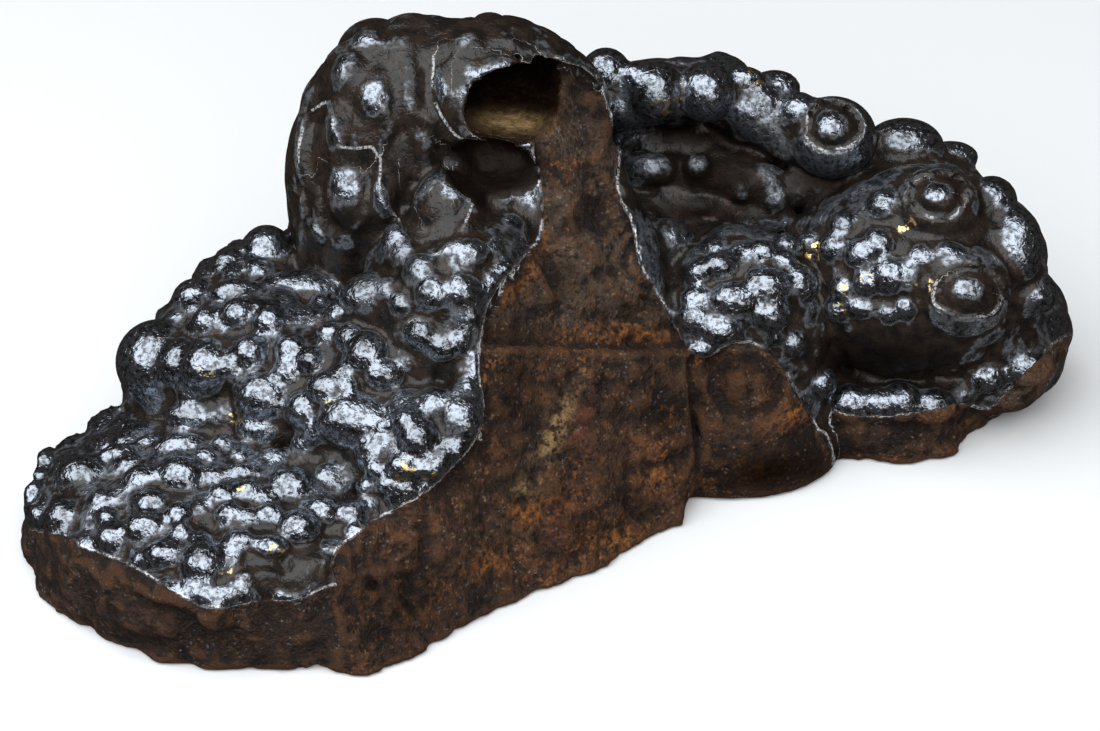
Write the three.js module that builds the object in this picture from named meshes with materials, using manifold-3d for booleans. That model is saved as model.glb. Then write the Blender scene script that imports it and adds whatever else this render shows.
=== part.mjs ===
// Botryoidal hematite, one natural stone about 165 mm long.
//
// Rounded masses grow into each other and carry a crust of smaller lumps: two terraces on the
// left, a draped tower with a hollow under its hood, a stack of fingers at the back, a dome in
// the middle and a lobe with a broken lip on the right. Fracture faces cut the front, and the
// stone is cut flat where it stands.
//
// Frame: millimetres, X along the stone, Y to its back, Z up. The origin is on the flat base,
// under the middle of the bounding box.

import * as THREE from 'three';
import * as BufferGeometryUtils from 'three/addons/utils/BufferGeometryUtils.js';
import Module from 'manifold-3d';

const wasm = await Module();
wasm.setup();

// ---------------------------------------------------------------- driving dimensions (mm, deg)

/** The stone stands on this level. */
const BASE_LEVEL = 0;
/** Edge length that the faces of a large mass aim at. */
const MASS_EDGE = 12;
/** Lumps with a mean radius above this get the larger number of facets. */
const LARGE_LUMP = 3.6;
/** Sides and courses of a small and of a large lump. */
const SMALL_FACETS = [6, 4];
const LARGE_FACETS = [8, 5];
/** Sides and courses of a finger. */
const FINGER_SIDES = 9;
const FINGER_COURSES = 3;
/** Share of a lump's radius that its centre lies under the skin of its mass. */
const LUMP_SINK = 0.45;
/** How much wider a lump is than the crest that its chart mark measures. */
const LUMP_SWELL = 1.25;
/** How far the skin of a mass wanders from a true ellipsoid. */
const SKIN_WANDER = 0.45;
/** How far a fracture face wanders from its plane. */
const FRACTURE_WANDER = 0.8;
/** Size of the cells of a fracture face. */
const FRACTURE_CELL = 14;
/** Reach of a cutting block, larger than the stone. */
const CUT_REACH = 190;

/**
 * The lumps of the display side are laid out on a chart: a plane through CHART_CENTRE, square to
 * a line that rises CHART_RISE from the front. All chart lines meet CHART_REACH in front of it.
 */
const CHART_RISE = 35;
const CHART_REACH = 520;
const CHART_CENTRE = new THREE.Vector3(0, 0, 22);

/** The grown masses: group, centre, radii, and turn as yaw, pitch and roll. */
const MASSES = [
  { group: 'terraceLow', at: [-45, -22, 4], radii: [38, 31, 17], turn: [-21, 0, 0] },
  { group: 'terraceHigh', at: [-40, -1, 17], radii: [26, 16.5, 17.5], turn: [-17, 0, 0] },
  { group: 'terraceHigh', at: [-26, -8, 17], radii: [18, 16, 19], turn: [-10, 0, 0] },
  { group: 'terraceHigh', at: [-45, 13, 18], radii: [13, 12, 17], turn: [0, 0, 0] },
  { group: 'tower', at: [-5, 18, 36], radii: [17, 16, 27], turn: [0, 0, 0] },
  { group: 'cheek', at: [-14, -1, 29.5], radii: [15.5, 16.5, 20.5], turn: [0, 0, 0] },
  { group: 'tower', at: [6, 9, 28], radii: [11, 12, 22], turn: [0, 0, 0] },
  { group: 'tower', at: [0, -16, 8], radii: [21.5, 33, 33], turn: [0, 0, 0] },
  { group: 'tower', at: [-25, -36, 3], radii: [12, 11, 15], turn: [30, 0, 0] },
  { group: 'drape', at: [-25, 19, 38], radii: [15.5, 15, 31], turn: [0, 0, 0] },
  { group: 'drape', at: [-28, 23, 12], radii: [20, 17, 24], turn: [0, 0, 0] },
  { group: 'drape', at: [-22, 6, 13], radii: [14, 16, 13], turn: [0, 0, 0] },
  { group: 'hood', at: [-8, 19, 55.5], radii: [17.5, 12, 14.5], turn: [0, 14, 0] },
  { group: 'cheek', at: [-15, 4, 46], radii: [6, 5, 8], turn: [0, 0, 0] },
  { group: 'middle', at: [12, 13, 10], radii: [34, 22, 21], turn: [5, 0, 0] },
  { group: 'middle', at: [29, 14, 19], radii: [16, 14, 18], turn: [0, 0, 0] },
  { group: 'middle', at: [24, 40, 24], radii: [29, 11, 22], turn: [-2, 0, 0] },
  { group: 'middle', at: [8, 28, 12], radii: [41, 21, 25], turn: [2, 0, 0] },
  { group: 'lobe', at: [57, 22, 24], radii: [21, 18, 19], turn: [0, 0, 0] },
  { group: 'lobe', at: [54, 33, 20], radii: [17, 12, 22], turn: [0, 0, 0] },
  { group: 'lobe', at: [70, 24, 12], radii: [13, 15, 13], turn: [0, 0, 0] },
  { group: 'lip', at: [55, 15, 3], radii: [25, 16, 10], turn: [12, 0, 0] },
  { group: 'foot', at: [29, 6, 2], radii: [16, 11, 9], turn: [5, 0, 0] },
  { group: 'terraceHigh', at: [-19, -19, 16], radii: [13, 13, 15.5], turn: [0, 0, 0] },
  { group: 'terraceLow', at: [-31, -28, 7], radii: [14, 12, 12.5], turn: [0, 0, 0] },
  { group: 'drape', at: [-18.5, 21, 53], radii: [11.5, 12, 16.5], turn: [0, 0, 0] },
];

/** The fingers stacked behind the dome: two ends and their radii. */
const FINGERS = [
  { group: 'middle', from: [4, 35, 48.5], to: [26, 37, 48.5], radii: [5.2, 5.2] },
  { group: 'middle', from: [26, 37, 48.5], to: [44, 31, 41.5], radii: [5.2, 5] },
  { group: 'middle', from: [14, 30, 38], to: [42, 28, 36], radii: [3, 2.8] },
  { group: 'middle', from: [20, 26, 33], to: [36, 27, 31], radii: [2.4, 2.4] },
];

/** Lumps of the two terraces on the chart: across, up, half width, half height. */
const TERRACE_LUMPS = [
  [-42.7, 19, 3.2, 3.2], [-54.2, 10.8, 3.3, 3.3], [-47.3, 11.7, 3.9, 2], [-37.6, 12.2, 6.4, 3.3],
  [-47.6, 8.4, 2.4, 2.4], [-27, 10.4, 5.5, 3.6], [-31.8, 8.4, 2.4, 2.4], [-61.4, 1.1, 5.5, 5.5],
  [-56.7, 0.5, 3.5, 3.5], [-52.7, 0.1, 3.8, 3.8], [-45.8, 2.2, 2.4, 2.4], [-39.4, 2.7, 2.3, 2.3],
  [-34.1, -3.4, 3, 2.4], [-30.3, 4.6, 2.3, 2.3], [-27.7, 2.3, 3.2, 3.2], [-25.2, -1.1, 2.6, 2],
  [-16.4, 2.7, 2.1, 2.1], [-19.7, 4.6, 2.3, 2.3], [-17.9, 11.1, 2.7, 2.7], [-13.3, 11.4, 2.7, 2.7],
  [-43.6, -4.9, 4.2, 3.5], [-44.2, -9.8, 3.3, 2.6], [-37.9, -6.9, 2.7, 2.7], [-30, -8.3, 5.3, 3.8],
  [-17.1, -5.5, 2.3, 2.3], [-20, -10.8, 2.6, 2.6], [-13.3, -8.3, 3, 3.5],
  [-66.4, -6.7, 4.8, 3.2], [-54.5, -8, 3.8, 2.1], [-55.8, -11.7, 3.6, 2.1], [-71.2, -16.1, 3.9, 3.2],
  [-61.8, -17, 3, 2.6], [-56.1, -16.1, 3.6, 3], [-49.7, -19.2, 2.1, 1.8],
  [-39.1, -17.5, 3.2, 2.7], [-61.4, -24.2, 3.2, 2.4], [-74.2, -22.5, 2.9, 2.6],
  [-66.7, -25.7, 2.3, 2], [-58.6, -28.3, 3, 2.1], [-52.7, -29.5, 3.2, 3.2], [-34.5, -21.6, 2.7, 2.3],
  [-38.2, -24, 3, 2.6], [-68.2, -20.4, 2.1, 2.1], [-47, -26.4, 2.4, 1.8],
];

/** Lumps, folds and knob of the tower on the chart. */
const TOWER_LUMPS = [
  [-26.5, 40.5, 3.3, 4.2], [-31.1, 25.8, 4.5, 6.1],
  [-18.9, 35.7, 3.3, 4.5], [-16.7, 24.3, 5.2, 6.1], [-5.6, 21.7, 3.6, 3.3], [-25, 26.6, 2.7, 4.5],
  [-24.2, 18.3, 2.7, 3.9], [-33.3, 35.7, 2.1, 3.9], [-35.6, 25.1, 2.1, 6.1], [-31.1, 44, 3, 3.6],
  [-21.2, 41.7, 2.1, 5.2], [-31.1, 19, 3.3, 3], [-12.1, 17.5, 3, 2.4],
  [-19.7, 14.5, 3, 2.7],
];

/** Lumps of the fingers, the dome, the lobe and the lip on the chart. */
const RIGHT_LUMPS = [
  [8.3, 45.5, 3.2, 3.2], [15.9, 41.7, 3.8, 3.8], [23.5, 41.3, 3.8, 3.8], [34.8, 43, 3.3, 2.4],
  [37.9, 39, 2.6, 2.6], [43.6, 36.6, 3.2, 3.2], [25.5, 31.3, 2, 2], [34.1, 24.9, 2, 2],
  [17.4, 19, 3.8, 3.6], [33, 12, 3.3, 2.7], [28.2, 9.8, 3.6, 2.6], [33.3, 7.7, 3, 2.6],
  [25.8, 5.4, 3.3, 2.6], [37.9, 12.7, 3, 2.6], [43, 18.1, 2.3, 2], [49.7, 18.4, 2.3, 2.4],
  [51.8, 13.6, 3, 2.7], [60.3, 16, 3, 2.6], [47.9, 12.5, 2.1, 2.1], [59.4, 26.3, 3.9, 3.3],
  [63.6, 11, 4.8, 3.9], [67.6, 25.7, 3.3, 3.3], [53.8, 34.2, 5.2, 3.9], [71.5, 18.3, 3.6, 5.2],
  [73.5, 10.5, 3.8, 2.9], [45.8, -5.1, 2.3, 1.8], [53.3, -6, 2.6, 2], [59.1, -5.5, 3.6, 1.5],
  [65.2, -2, 2.7, 2.1],
];

/** Masses whose hidden side carries lumps: index in MASSES, how many, and their mean radius. */
const HIDDEN_SIDES = [
  { mass: 3, count: 9, radius: 4 },
  { mass: 9, count: 16, radius: 4.6 },
  { mass: 10, count: 14, radius: 5 },
  { mass: 12, count: 10, radius: 4.4 },
  { mass: 16, count: 18, radius: 5 },
  { mass: 17, count: 18, radius: 5 },
  { mass: 19, count: 12, radius: 4.4 },
];

/** Fracture faces: a point on the face and the way it looks. Keys are what they cut. */
const FRONT_FACE = { at: [-9.6, -17.2, 36], facing: [0.55, -0.75, 0.37] };
const UPPER_SLOPE = { at: [-8.6, -9.6, 42], facing: [0.5, -0.6, 0.62] };
const TERRACE_END = { at: [-31.4, -41.5, 17], facing: [0.3, -0.92, 0.25] };
const DOME_FACE = { at: [33, -4.5, 8], facing: [0.12, -0.95, 0.28] };
const LIP_FACE = { at: [55, 4, 0], facing: [0, -1, 0.12] };
const LIP_END = { at: [69.7, 13.6, 0], facing: [0.72, -0.68, 0.1] };
const CUTS = {
  terraceLow: [TERRACE_END],
  terraceHigh: [TERRACE_END],
  tower: [FRONT_FACE, UPPER_SLOPE],
  middle: [DOME_FACE],
  lip: [LIP_FACE, LIP_END],
};

/** Broken wall around the lower terrace: an oval wall that drifts as it rises. */
const SKIRT = { centre: [-46.5, -21], radii: [33.5, 25.5], yaw: -21, low: -5, high: 26 };
const SKIRT_DRIFT = [0.14, -0.12];
const SKIRT_DRIFT_FROM = 7;
const SKIRT_SIDES = 30;
const SKIRT_COURSES = 3;

/** The hollow under the hood and the recess below its edge. */
const HOLLOW = { at: [-5.5, 14, 61], radii: [7.6, 10, 5.6], turn: [0, -12, 0] };
const RECESS = { at: [-8.5, 5, 53.6], radii: [6.2, 7, 3.9], turn: [0, 0, 0] };

/** Crust colour and finish. */
const CRUST = { color: 0x2a221f, roughness: 0.28, metalness: 0.45 };

// ---------------------------------------------------------------- helpers

/**
 * Turn a closed geometry into a solid.
 * @param {THREE.BufferGeometry} geometry closed geometry with its faces pointing out
 * @returns {object} the solid
 */
function toSolid(geometry) {
  const bare = geometry.clone();
  bare.deleteAttribute('normal');
  bare.deleteAttribute('uv');
  const merged = BufferGeometryUtils.mergeVertices(bare, 1e-4);
  const mesh = new wasm.Mesh({
    numProp: 3,
    vertProperties: new Float32Array(merged.attributes.position.array),
    triVerts: new Uint32Array(merged.index.array),
  });
  return new wasm.Manifold(mesh);
}

/**
 * Turn a solid back into a geometry.
 * @param {object} solid the solid
 * @returns {THREE.BufferGeometry} indexed geometry with normals
 */
function toGeometry(solid) {
  const mesh = solid.getMesh();
  const geometry = new THREE.BufferGeometry();
  geometry.setAttribute('position', new THREE.BufferAttribute(new Float32Array(mesh.vertProperties), 3));
  geometry.setIndex(new THREE.BufferAttribute(new Uint32Array(mesh.triVerts), 1));
  geometry.computeVertexNormals();
  return geometry;
}

/**
 * Slow, even waves through space, used wherever the stone's skin is uneven.
 * @param {THREE.Vector3} p point in mm
 * @param {number} pitch wave length in mm
 * @returns {number} a value from -1 to 1
 */
function waves(p, pitch) {
  const k = (2 * Math.PI) / pitch;
  const first = Math.sin(k * (p.x + 0.31 * p.y) + 1.3) * Math.cos(k * (p.z - 0.22 * p.x));
  const second = Math.sin(1.7 * k * (p.y - 0.4 * p.z) + 0.6) * Math.cos(1.3 * k * p.x + 2.1);
  return 0.6 * first + 0.4 * second;
}

/**
 * Move every vertex of a geometry.
 * @param {THREE.BufferGeometry} geometry the geometry, changed in place
 * @param {function(THREE.Vector3): void} move changes the vertex it is given
 * @returns {THREE.BufferGeometry} the same geometry
 */
function moveVertices(geometry, move) {
  const position = geometry.attributes.position;
  const p = new THREE.Vector3();
  for (let i = 0; i < position.count; i += 1) {
    p.fromBufferAttribute(position, i);
    move(p);
    position.setXYZ(i, p.x, p.y, p.z);
  }
  return geometry;
}

/**
 * The turn of a mass as a matrix.
 * @param {number[]} turn yaw about Z, pitch about Y and roll about X, in degrees
 * @returns {THREE.Matrix4} rotation
 */
function turnMatrix([yaw, pitch, roll]) {
  const rad = THREE.MathUtils.degToRad;
  return new THREE.Matrix4().makeRotationFromEuler(new THREE.Euler(rad(roll), rad(pitch), rad(yaw), 'ZYX'));
}

/**
 * Signed distance, close enough to march along a line, from a point to an ellipsoid's skin.
 * @param {{at: number[], radii: number[], turn: number[]}} mass the ellipsoid
 * @param {THREE.Vector3} point point in mm
 * @returns {number} distance in mm, negative inside
 */
function ellipsoidDistance(mass, point) {
  const local = point.clone().sub(new THREE.Vector3(...mass.at));
  local.applyMatrix4(turnMatrix(mass.turn).invert());
  const radii = new THREE.Vector3(...mass.radii);
  const unit = local.clone().divide(radii);
  const slope = unit.clone().divide(radii).length();
  return (unit.length() * (unit.length() - 1)) / Math.max(slope, 1e-9);
}

/**
 * Signed distance from a point to a finger's skin.
 * @param {{from: number[], to: number[], radii: number[]}} finger the finger
 * @param {THREE.Vector3} point point in mm
 * @returns {number} distance in mm, negative inside
 */
function fingerDistance(finger, point) {
  const start = new THREE.Vector3(...finger.from);
  const run = new THREE.Vector3(...finger.to).sub(start);
  const along = THREE.MathUtils.clamp(point.clone().sub(start).dot(run) / run.lengthSq(), 0, 1);
  const radius = THREE.MathUtils.lerp(finger.radii[0], finger.radii[1], along);
  return point.distanceTo(start.addScaledVector(run, along)) - radius;
}

/**
 * The mass or finger whose skin is nearest to a point.
 * @param {THREE.Vector3} point point in mm
 * @returns {{distance: number, group: string}} nearest skin
 */
function nearestSkin(point) {
  const best = { distance: Infinity, group: '' };
  for (const mass of MASSES) {
    const distance = ellipsoidDistance(mass, point);
    if (distance < best.distance) Object.assign(best, { distance, group: mass.group });
  }
  for (const finger of FINGERS) {
    const distance = fingerDistance(finger, point);
    if (distance < best.distance) Object.assign(best, { distance, group: finger.group });
  }
  return best;
}

/**
 * Outward direction of the skin at a point.
 * @param {THREE.Vector3} point point in mm
 * @returns {THREE.Vector3} unit vector
 */
function outward(point) {
  const step = 0.3;
  const slope = new THREE.Vector3();
  for (const axis of ['x', 'y', 'z']) {
    const ahead = point.clone();
    const behind = point.clone();
    ahead[axis] += step;
    behind[axis] -= step;
    slope[axis] = nearestSkin(ahead).distance - nearestSkin(behind).distance;
  }
  return slope.normalize();
}

// ---------------------------------------------------------------- the chart

const rise = THREE.MathUtils.degToRad(CHART_RISE);
const chartRight = new THREE.Vector3(1, 0, 0);
const chartUp = new THREE.Vector3(0, Math.sin(rise), Math.cos(rise));
const chartOut = new THREE.Vector3(0, -Math.cos(rise), Math.sin(rise));
const chartFrame = new THREE.Matrix4().makeBasis(chartRight, chartUp, chartOut);
const chartEye = CHART_CENTRE.clone().addScaledVector(chartOut, CHART_REACH);

/**
 * Follow a chart line onto the stone. A line that just misses ends where it passes closest.
 * @param {number} across mm to the right of the chart's centre
 * @param {number} up mm above the chart's centre
 * @returns {THREE.Vector3} point on the skin
 */
function dropOntoSkin(across, up) {
  const mark = CHART_CENTRE.clone().addScaledVector(chartRight, across).addScaledVector(chartUp, up);
  const line = mark.sub(chartEye).normalize();
  const nearest = { distance: Infinity, reach: 0 };
  for (let reach = CHART_REACH - 120; reach < CHART_REACH + 120;) {
    const { distance } = nearestSkin(chartEye.clone().addScaledVector(line, reach));
    if (distance < nearest.distance) Object.assign(nearest, { distance, reach });
    if (distance < 0.05) break;
    reach += Math.max(0.7 * distance, 0.05);
  }
  const point = chartEye.clone().addScaledVector(line, nearest.reach);
  return point.addScaledVector(outward(point), -nearest.distance);
}

// ---------------------------------------------------------------- pieces of the stone

/**
 * An ellipsoid of growth with an uneven skin.
 * @param {{at: number[], radii: number[], turn: number[]}} mass centre, radii and turn
 * @param {number} detail subdivisions of the icosahedron
 * @param {number} wander how far the skin wanders in mm
 * @returns {object} solid
 */
function ellipsoid(mass, detail, wander) {
  const geometry = new THREE.IcosahedronGeometry(1, detail);
  const radii = new THREE.Vector3(...mass.radii);
  const place = turnMatrix(mass.turn).setPosition(...mass.at);
  moveVertices(geometry, (p) => {
    const direction = p.clone();
    p.multiply(radii).applyMatrix4(place);
    p.addScaledVector(direction.transformDirection(place), wander * waves(p, 17));
  });
  return toSolid(geometry);
}

/**
 * A large mass, faceted finely enough for its size.
 * @param {{at: number[], radii: number[], turn: number[]}} mass centre, radii and turn
 * @returns {object} solid
 */
function massSolid(mass) {
  const detail = Math.max(1, Math.round(Math.max(...mass.radii) / MASS_EDGE));
  return ellipsoid(mass, detail, SKIN_WANDER);
}

/**
 * A finger: a round-ended rod that tapers along its run.
 * @param {{from: number[], to: number[], radii: number[]}} finger ends and radii
 * @returns {object} solid
 */
function fingerSolid(finger) {
  const start = new THREE.Vector3(...finger.from);
  const end = new THREE.Vector3(...finger.to);
  const run = end.clone().sub(start);
  const [thick, thin] = finger.radii;
  const geometry = new THREE.CapsuleGeometry(thick, run.length(), 2, FINGER_SIDES, FINGER_COURSES);
  moveVertices(geometry, (p) => {
    const along = THREE.MathUtils.clamp(p.y / run.length() + 0.5, 0, 1);
    p.x *= THREE.MathUtils.lerp(1, thin / thick, along);
    p.z *= THREE.MathUtils.lerp(1, thin / thick, along);
  });
  const turn = new THREE.Quaternion().setFromUnitVectors(new THREE.Vector3(0, 1, 0), run.normalize());
  geometry.applyQuaternion(turn);
  geometry.translate(...start.add(end).multiplyScalar(0.5).toArray());
  return toSolid(geometry);
}

/**
 * Join solids into one.
 * @param {object[]} solids solids that touch or overlap
 * @returns {object} their union
 */
function joined(solids) {
  return solids.reduce((whole, solid) => whole.add(solid));
}

/**
 * A lump half buried in the skin.
 * @param {THREE.Vector3} point point on the skin
 * @param {THREE.Vector3} normal outward direction there
 * @param {number[]} halves half width and half height in mm
 * @returns {object} solid
 */
function lump(point, normal, [halfWidth, halfHeight]) {
  const depth = Math.min(halfWidth, halfHeight) * LUMP_SWELL;
  const [sides, courses] = halfWidth + halfHeight > 2 * LARGE_LUMP ? LARGE_FACETS : SMALL_FACETS;
  const geometry = new THREE.SphereGeometry(1, sides, courses);
  geometry.rotateX(Math.PI / 2);
  geometry.scale(halfWidth * LUMP_SWELL, halfHeight * LUMP_SWELL, depth);
  geometry.applyMatrix4(chartFrame);
  geometry.translate(...point.clone().addScaledVector(normal, -LUMP_SINK * depth).toArray());
  return toSolid(geometry);
}

/**
 * Lumps of the display side, each with the group that it grows on.
 * @param {number[][]} marks chart marks: across, up, half width, half height
 * @returns {{group: string, solid: object}[]} lumps
 */
function chartLumps(marks) {
  return marks.map(([across, up, halfWidth, halfHeight]) => {
    const point = dropOntoSkin(across, up);
    const { group } = nearestSkin(point);
    return { group, solid: lump(point, outward(point), [halfWidth, halfHeight]) };
  });
}

/**
 * Lumps spread evenly over the side of a mass that the chart doesn't reach.
 * @param {{mass: number, count: number, radius: number}} side which mass, how many and how large
 * @returns {{group: string, solid: object}[]} lumps
 */
function hiddenLumps({ mass, count, radius }) {
  const body = MASSES[mass];
  const place = turnMatrix(body.turn).setPosition(...body.at);
  const radii = new THREE.Vector3(...body.radii);
  const golden = Math.PI * (3 - Math.sqrt(5));
  const lumps = [];
  for (let i = 0; i < count; i += 1) {
    const height = 1 - (2 * (i + 0.5)) / count;
    const ring = Math.sqrt(1 - height * height);
    const direction = new THREE.Vector3(ring * Math.cos(golden * i), ring * Math.sin(golden * i), height);
    const point = direction.clone().multiply(radii).applyMatrix4(place);
    const normal = direction.divide(radii).transformDirection(place);
    const hidden = normal.dot(chartOut) < 0.05 && point.z > 1.2 * radius;
    if (hidden && nearestSkin(point).distance > -0.8) {
      const swell = radius * (0.75 + 0.5 * ((i * 0.618) % 1));
      lumps.push({ group: body.group, solid: lump(point, normal, [swell * 1.15, swell]) });
    }
  }
  return lumps;
}

/**
 * The block outside a fracture face, its near side rough.
 * @param {{at: number[], facing: number[]}} face a point on the face and the way it looks
 * @returns {object} solid to cut away
 */
function fractureBlock({ at, facing }) {
  const cells = Math.round(CUT_REACH / FRACTURE_CELL);
  const geometry = new THREE.BoxGeometry(CUT_REACH, CUT_REACH, CUT_REACH / 2, cells, cells, 1);
  geometry.translate(0, 0, CUT_REACH / 4);
  moveVertices(geometry, (p) => {
    if (p.z < 1) p.z += FRACTURE_WANDER * (waves(p, 31) + 0.5 * waves(p, 13));
  });
  const normal = new THREE.Vector3(...facing).normalize();
  const turn = new THREE.Quaternion().setFromUnitVectors(new THREE.Vector3(0, 0, 1), normal);
  geometry.applyQuaternion(turn);
  geometry.translate(...at);
  return toSolid(geometry);
}

/**
 * The oval wall that the lower terrace is broken off to.
 * @returns {object} solid that holds the lower terrace
 */
function skirtSolid() {
  const height = SKIRT.high - SKIRT.low;
  const geometry = new THREE.CylinderGeometry(1, 1, height, SKIRT_SIDES, SKIRT_COURSES);
  geometry.rotateX(Math.PI / 2);
  geometry.translate(0, 0, SKIRT.low + height / 2);
  const yaw = turnMatrix([SKIRT.yaw, 0, 0]);
  moveVertices(geometry, (p) => {
    const level = p.z;
    p.set(p.x * SKIRT.radii[0], p.y * SKIRT.radii[1], 0).applyMatrix4(yaw);
    p.multiplyScalar(1 + 0.03 * waves(new THREE.Vector3(p.x, p.y, level), 23));
    p.x += SKIRT.centre[0] + SKIRT_DRIFT[0] * (level - SKIRT_DRIFT_FROM);
    p.y += SKIRT.centre[1] + SKIRT_DRIFT[1] * (level - SKIRT_DRIFT_FROM);
    p.z = level;
  });
  return toSolid(geometry);
}

/**
 * One group of masses with its lumps, broken where its fracture faces are.
 * @param {string} group name of the group
 * @param {{group: string, solid: object}[]} lumps all lumps of the stone
 * @returns {object} solid
 */
function grownGroup(group, lumps) {
  const masses = MASSES.filter((mass) => mass.group === group).map(massSolid);
  const fingers = FINGERS.filter((finger) => finger.group === group).map(fingerSolid);
  const own = lumps.filter((item) => item.group === group).map((item) => item.solid);
  let solid = joined([...masses, ...fingers, ...own]);
  if (group === 'terraceLow') solid = solid.intersect(skirtSolid());
  for (const face of CUTS[group] ?? []) solid = solid.subtract(fractureBlock(face));
  return solid;
}

/**
 * The ground under the stone, which cuts its base flat.
 * @returns {object} solid to cut away
 */
function ground() {
  const geometry = new THREE.BoxGeometry(2 * CUT_REACH, 2 * CUT_REACH, CUT_REACH);
  geometry.translate(0, 0, BASE_LEVEL - CUT_REACH / 2);
  return toSolid(geometry);
}

/**
 * The whole stone.
 * @returns {THREE.BufferGeometry} one closed body on the base level
 */
function stoneGeometry() {
  const onChart = [TERRACE_LUMPS, TOWER_LUMPS, RIGHT_LUMPS].flatMap(chartLumps);
  const behind = HIDDEN_SIDES.flatMap(hiddenLumps);
  const lumps = [...onChart, ...behind];
  const groups = [...new Set(MASSES.map((mass) => mass.group))];
  const grown = joined(groups.map((group) => grownGroup(group, lumps)));
  const opened = grown.subtract(ellipsoid(HOLLOW, 2, 0.4)).subtract(ellipsoid(RECESS, 1, 0.2));
  const geometry = toGeometry(opened.subtract(ground()));
  geometry.computeBoundingBox();
  const middle = geometry.boundingBox.getCenter(new THREE.Vector3());
  geometry.translate(-middle.x, -middle.y, 0);
  return geometry;
}

// ---------------------------------------------------------------- the scene graph

const stone = new THREE.Mesh(stoneGeometry(), new THREE.MeshStandardMaterial(CRUST));
stone.name = 'hematite_stone';

const specimen = new THREE.Group();
specimen.name = 'botryoidal_hematite';
specimen.add(stone);

export default specimen;
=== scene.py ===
"""A botryoidal hematite stone on a pale studio floor.

The stone is one closed surface. Grown masses, fingers and lumps are signed distances in mm that
are joined, cut by fracture faces and opened by a hollow. The zero level of the sum is meshed on
an even grid, because overlapping lumps and broken faces can't be one grid of two parameters.
One procedural material reads the mesh's own attributes for crust, broken rock and stains, and
for painted shade, painted highlights on broken edges and painted golden reflections.
"""

import logging
import math
from dataclasses import dataclass, field
from enum import Enum
from functools import reduce

import bpy
import numpy as np
from mathutils import Matrix, Vector

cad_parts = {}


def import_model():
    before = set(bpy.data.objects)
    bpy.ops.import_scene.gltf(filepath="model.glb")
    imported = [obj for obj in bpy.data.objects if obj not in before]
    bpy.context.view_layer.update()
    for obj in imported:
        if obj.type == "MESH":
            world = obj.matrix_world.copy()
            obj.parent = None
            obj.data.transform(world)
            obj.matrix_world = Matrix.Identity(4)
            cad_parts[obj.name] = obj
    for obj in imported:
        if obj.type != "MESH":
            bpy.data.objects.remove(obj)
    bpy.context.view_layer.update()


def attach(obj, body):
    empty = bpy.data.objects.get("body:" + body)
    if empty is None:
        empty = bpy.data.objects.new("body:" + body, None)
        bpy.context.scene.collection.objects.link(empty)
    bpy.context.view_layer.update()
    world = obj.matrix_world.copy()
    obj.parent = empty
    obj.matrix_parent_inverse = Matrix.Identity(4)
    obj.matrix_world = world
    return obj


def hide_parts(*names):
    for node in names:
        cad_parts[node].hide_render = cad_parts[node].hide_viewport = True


log = logging.getLogger("hematite")

MM = 0.001
STONE_NODE = "hematite_stone"

# The middle of the stone's box in the frame that its masses are written in, in mm.
STONE_MIDDLE = (1.546, 3.302, 0.0)

# Distances from edges are kept up to the first of these, and from outlines up to the second.
EDGE_REACH = 3.0
OUTLINE_REACH = 9.0

# A distance past every part of the stone, in mm.
FAR = 1e3

Row = tuple[float, ...]
Pair = tuple[float, float]
Colour = tuple[float, float, float, float]
Socket = bpy.types.NodeSocket


# ---------------------------------------------------------------- noise


def lattice_random(cell: np.ndarray, seed: int) -> np.ndarray:
    """Give each whole-number lattice point a fixed random number.

    The three indices are multiplied by large primes and mixed with exclusive or.

    Args:
        cell: Lattice indices, last axis of length 3.
        seed: Which set of numbers.

    Returns:
        Numbers from 0 to 1, one for each lattice point.
    """
    index = cell.astype(np.int64).astype(np.uint32)
    mixed = index[..., 0] * np.uint32(73856093)
    mixed ^= index[..., 1] * np.uint32(19349663)
    mixed ^= index[..., 2] * np.uint32(83492791)
    mixed ^= np.uint32((seed * 2654435761) % 2**32)
    mixed ^= mixed >> np.uint32(13)
    mixed *= np.uint32(1274126177)
    mixed ^= mixed >> np.uint32(16)
    return (mixed & np.uint32(0xFFFFFF)).astype(np.float32) / np.float32(0x1000000)


def smooth_noise(points: np.ndarray, pitch: float, seed: int) -> np.ndarray:
    """Blend the random numbers of the eight lattice points around each point.

    The weights follow 3t^2 - 2t^3 along each axis.

    Args:
        points: Points in mm, shape (n, 3).
        pitch: Lattice spacing in mm.
        seed: Which noise.

    Returns:
        Values from -1 to 1.
    """
    scaled = points / pitch
    corner = np.floor(scaled)
    part = scaled - corner
    part = part * part * (3.0 - 2.0 * part)
    total = np.zeros(len(points), np.float32)
    for offset in np.ndindex(2, 2, 2):
        step = np.array(offset)
        weight = np.prod(np.where(step == 1, part, 1.0 - part), axis=1)
        total += weight * lattice_random(corner + step, seed)
    return 2.0 * total - 1.0


def fractal_noise(points: np.ndarray, pitch: float, octaves: int, seed: int) -> np.ndarray:
    """Add smooth noise at ever finer pitch, each octave at half the strength.

    Args:
        points: Points in mm, shape (n, 3).
        pitch: Coarsest lattice spacing in mm.
        octaves: How many octaves.
        seed: Which noise.

    Returns:
        Values from about -1 to 1.
    """
    total = np.zeros(len(points), np.float32)
    for octave in range(octaves):
        total += 0.5**octave * smooth_noise(points, pitch / 2**octave, seed + octave)
    return total / (2.0 - 0.5 ** (octaves - 1))


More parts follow.
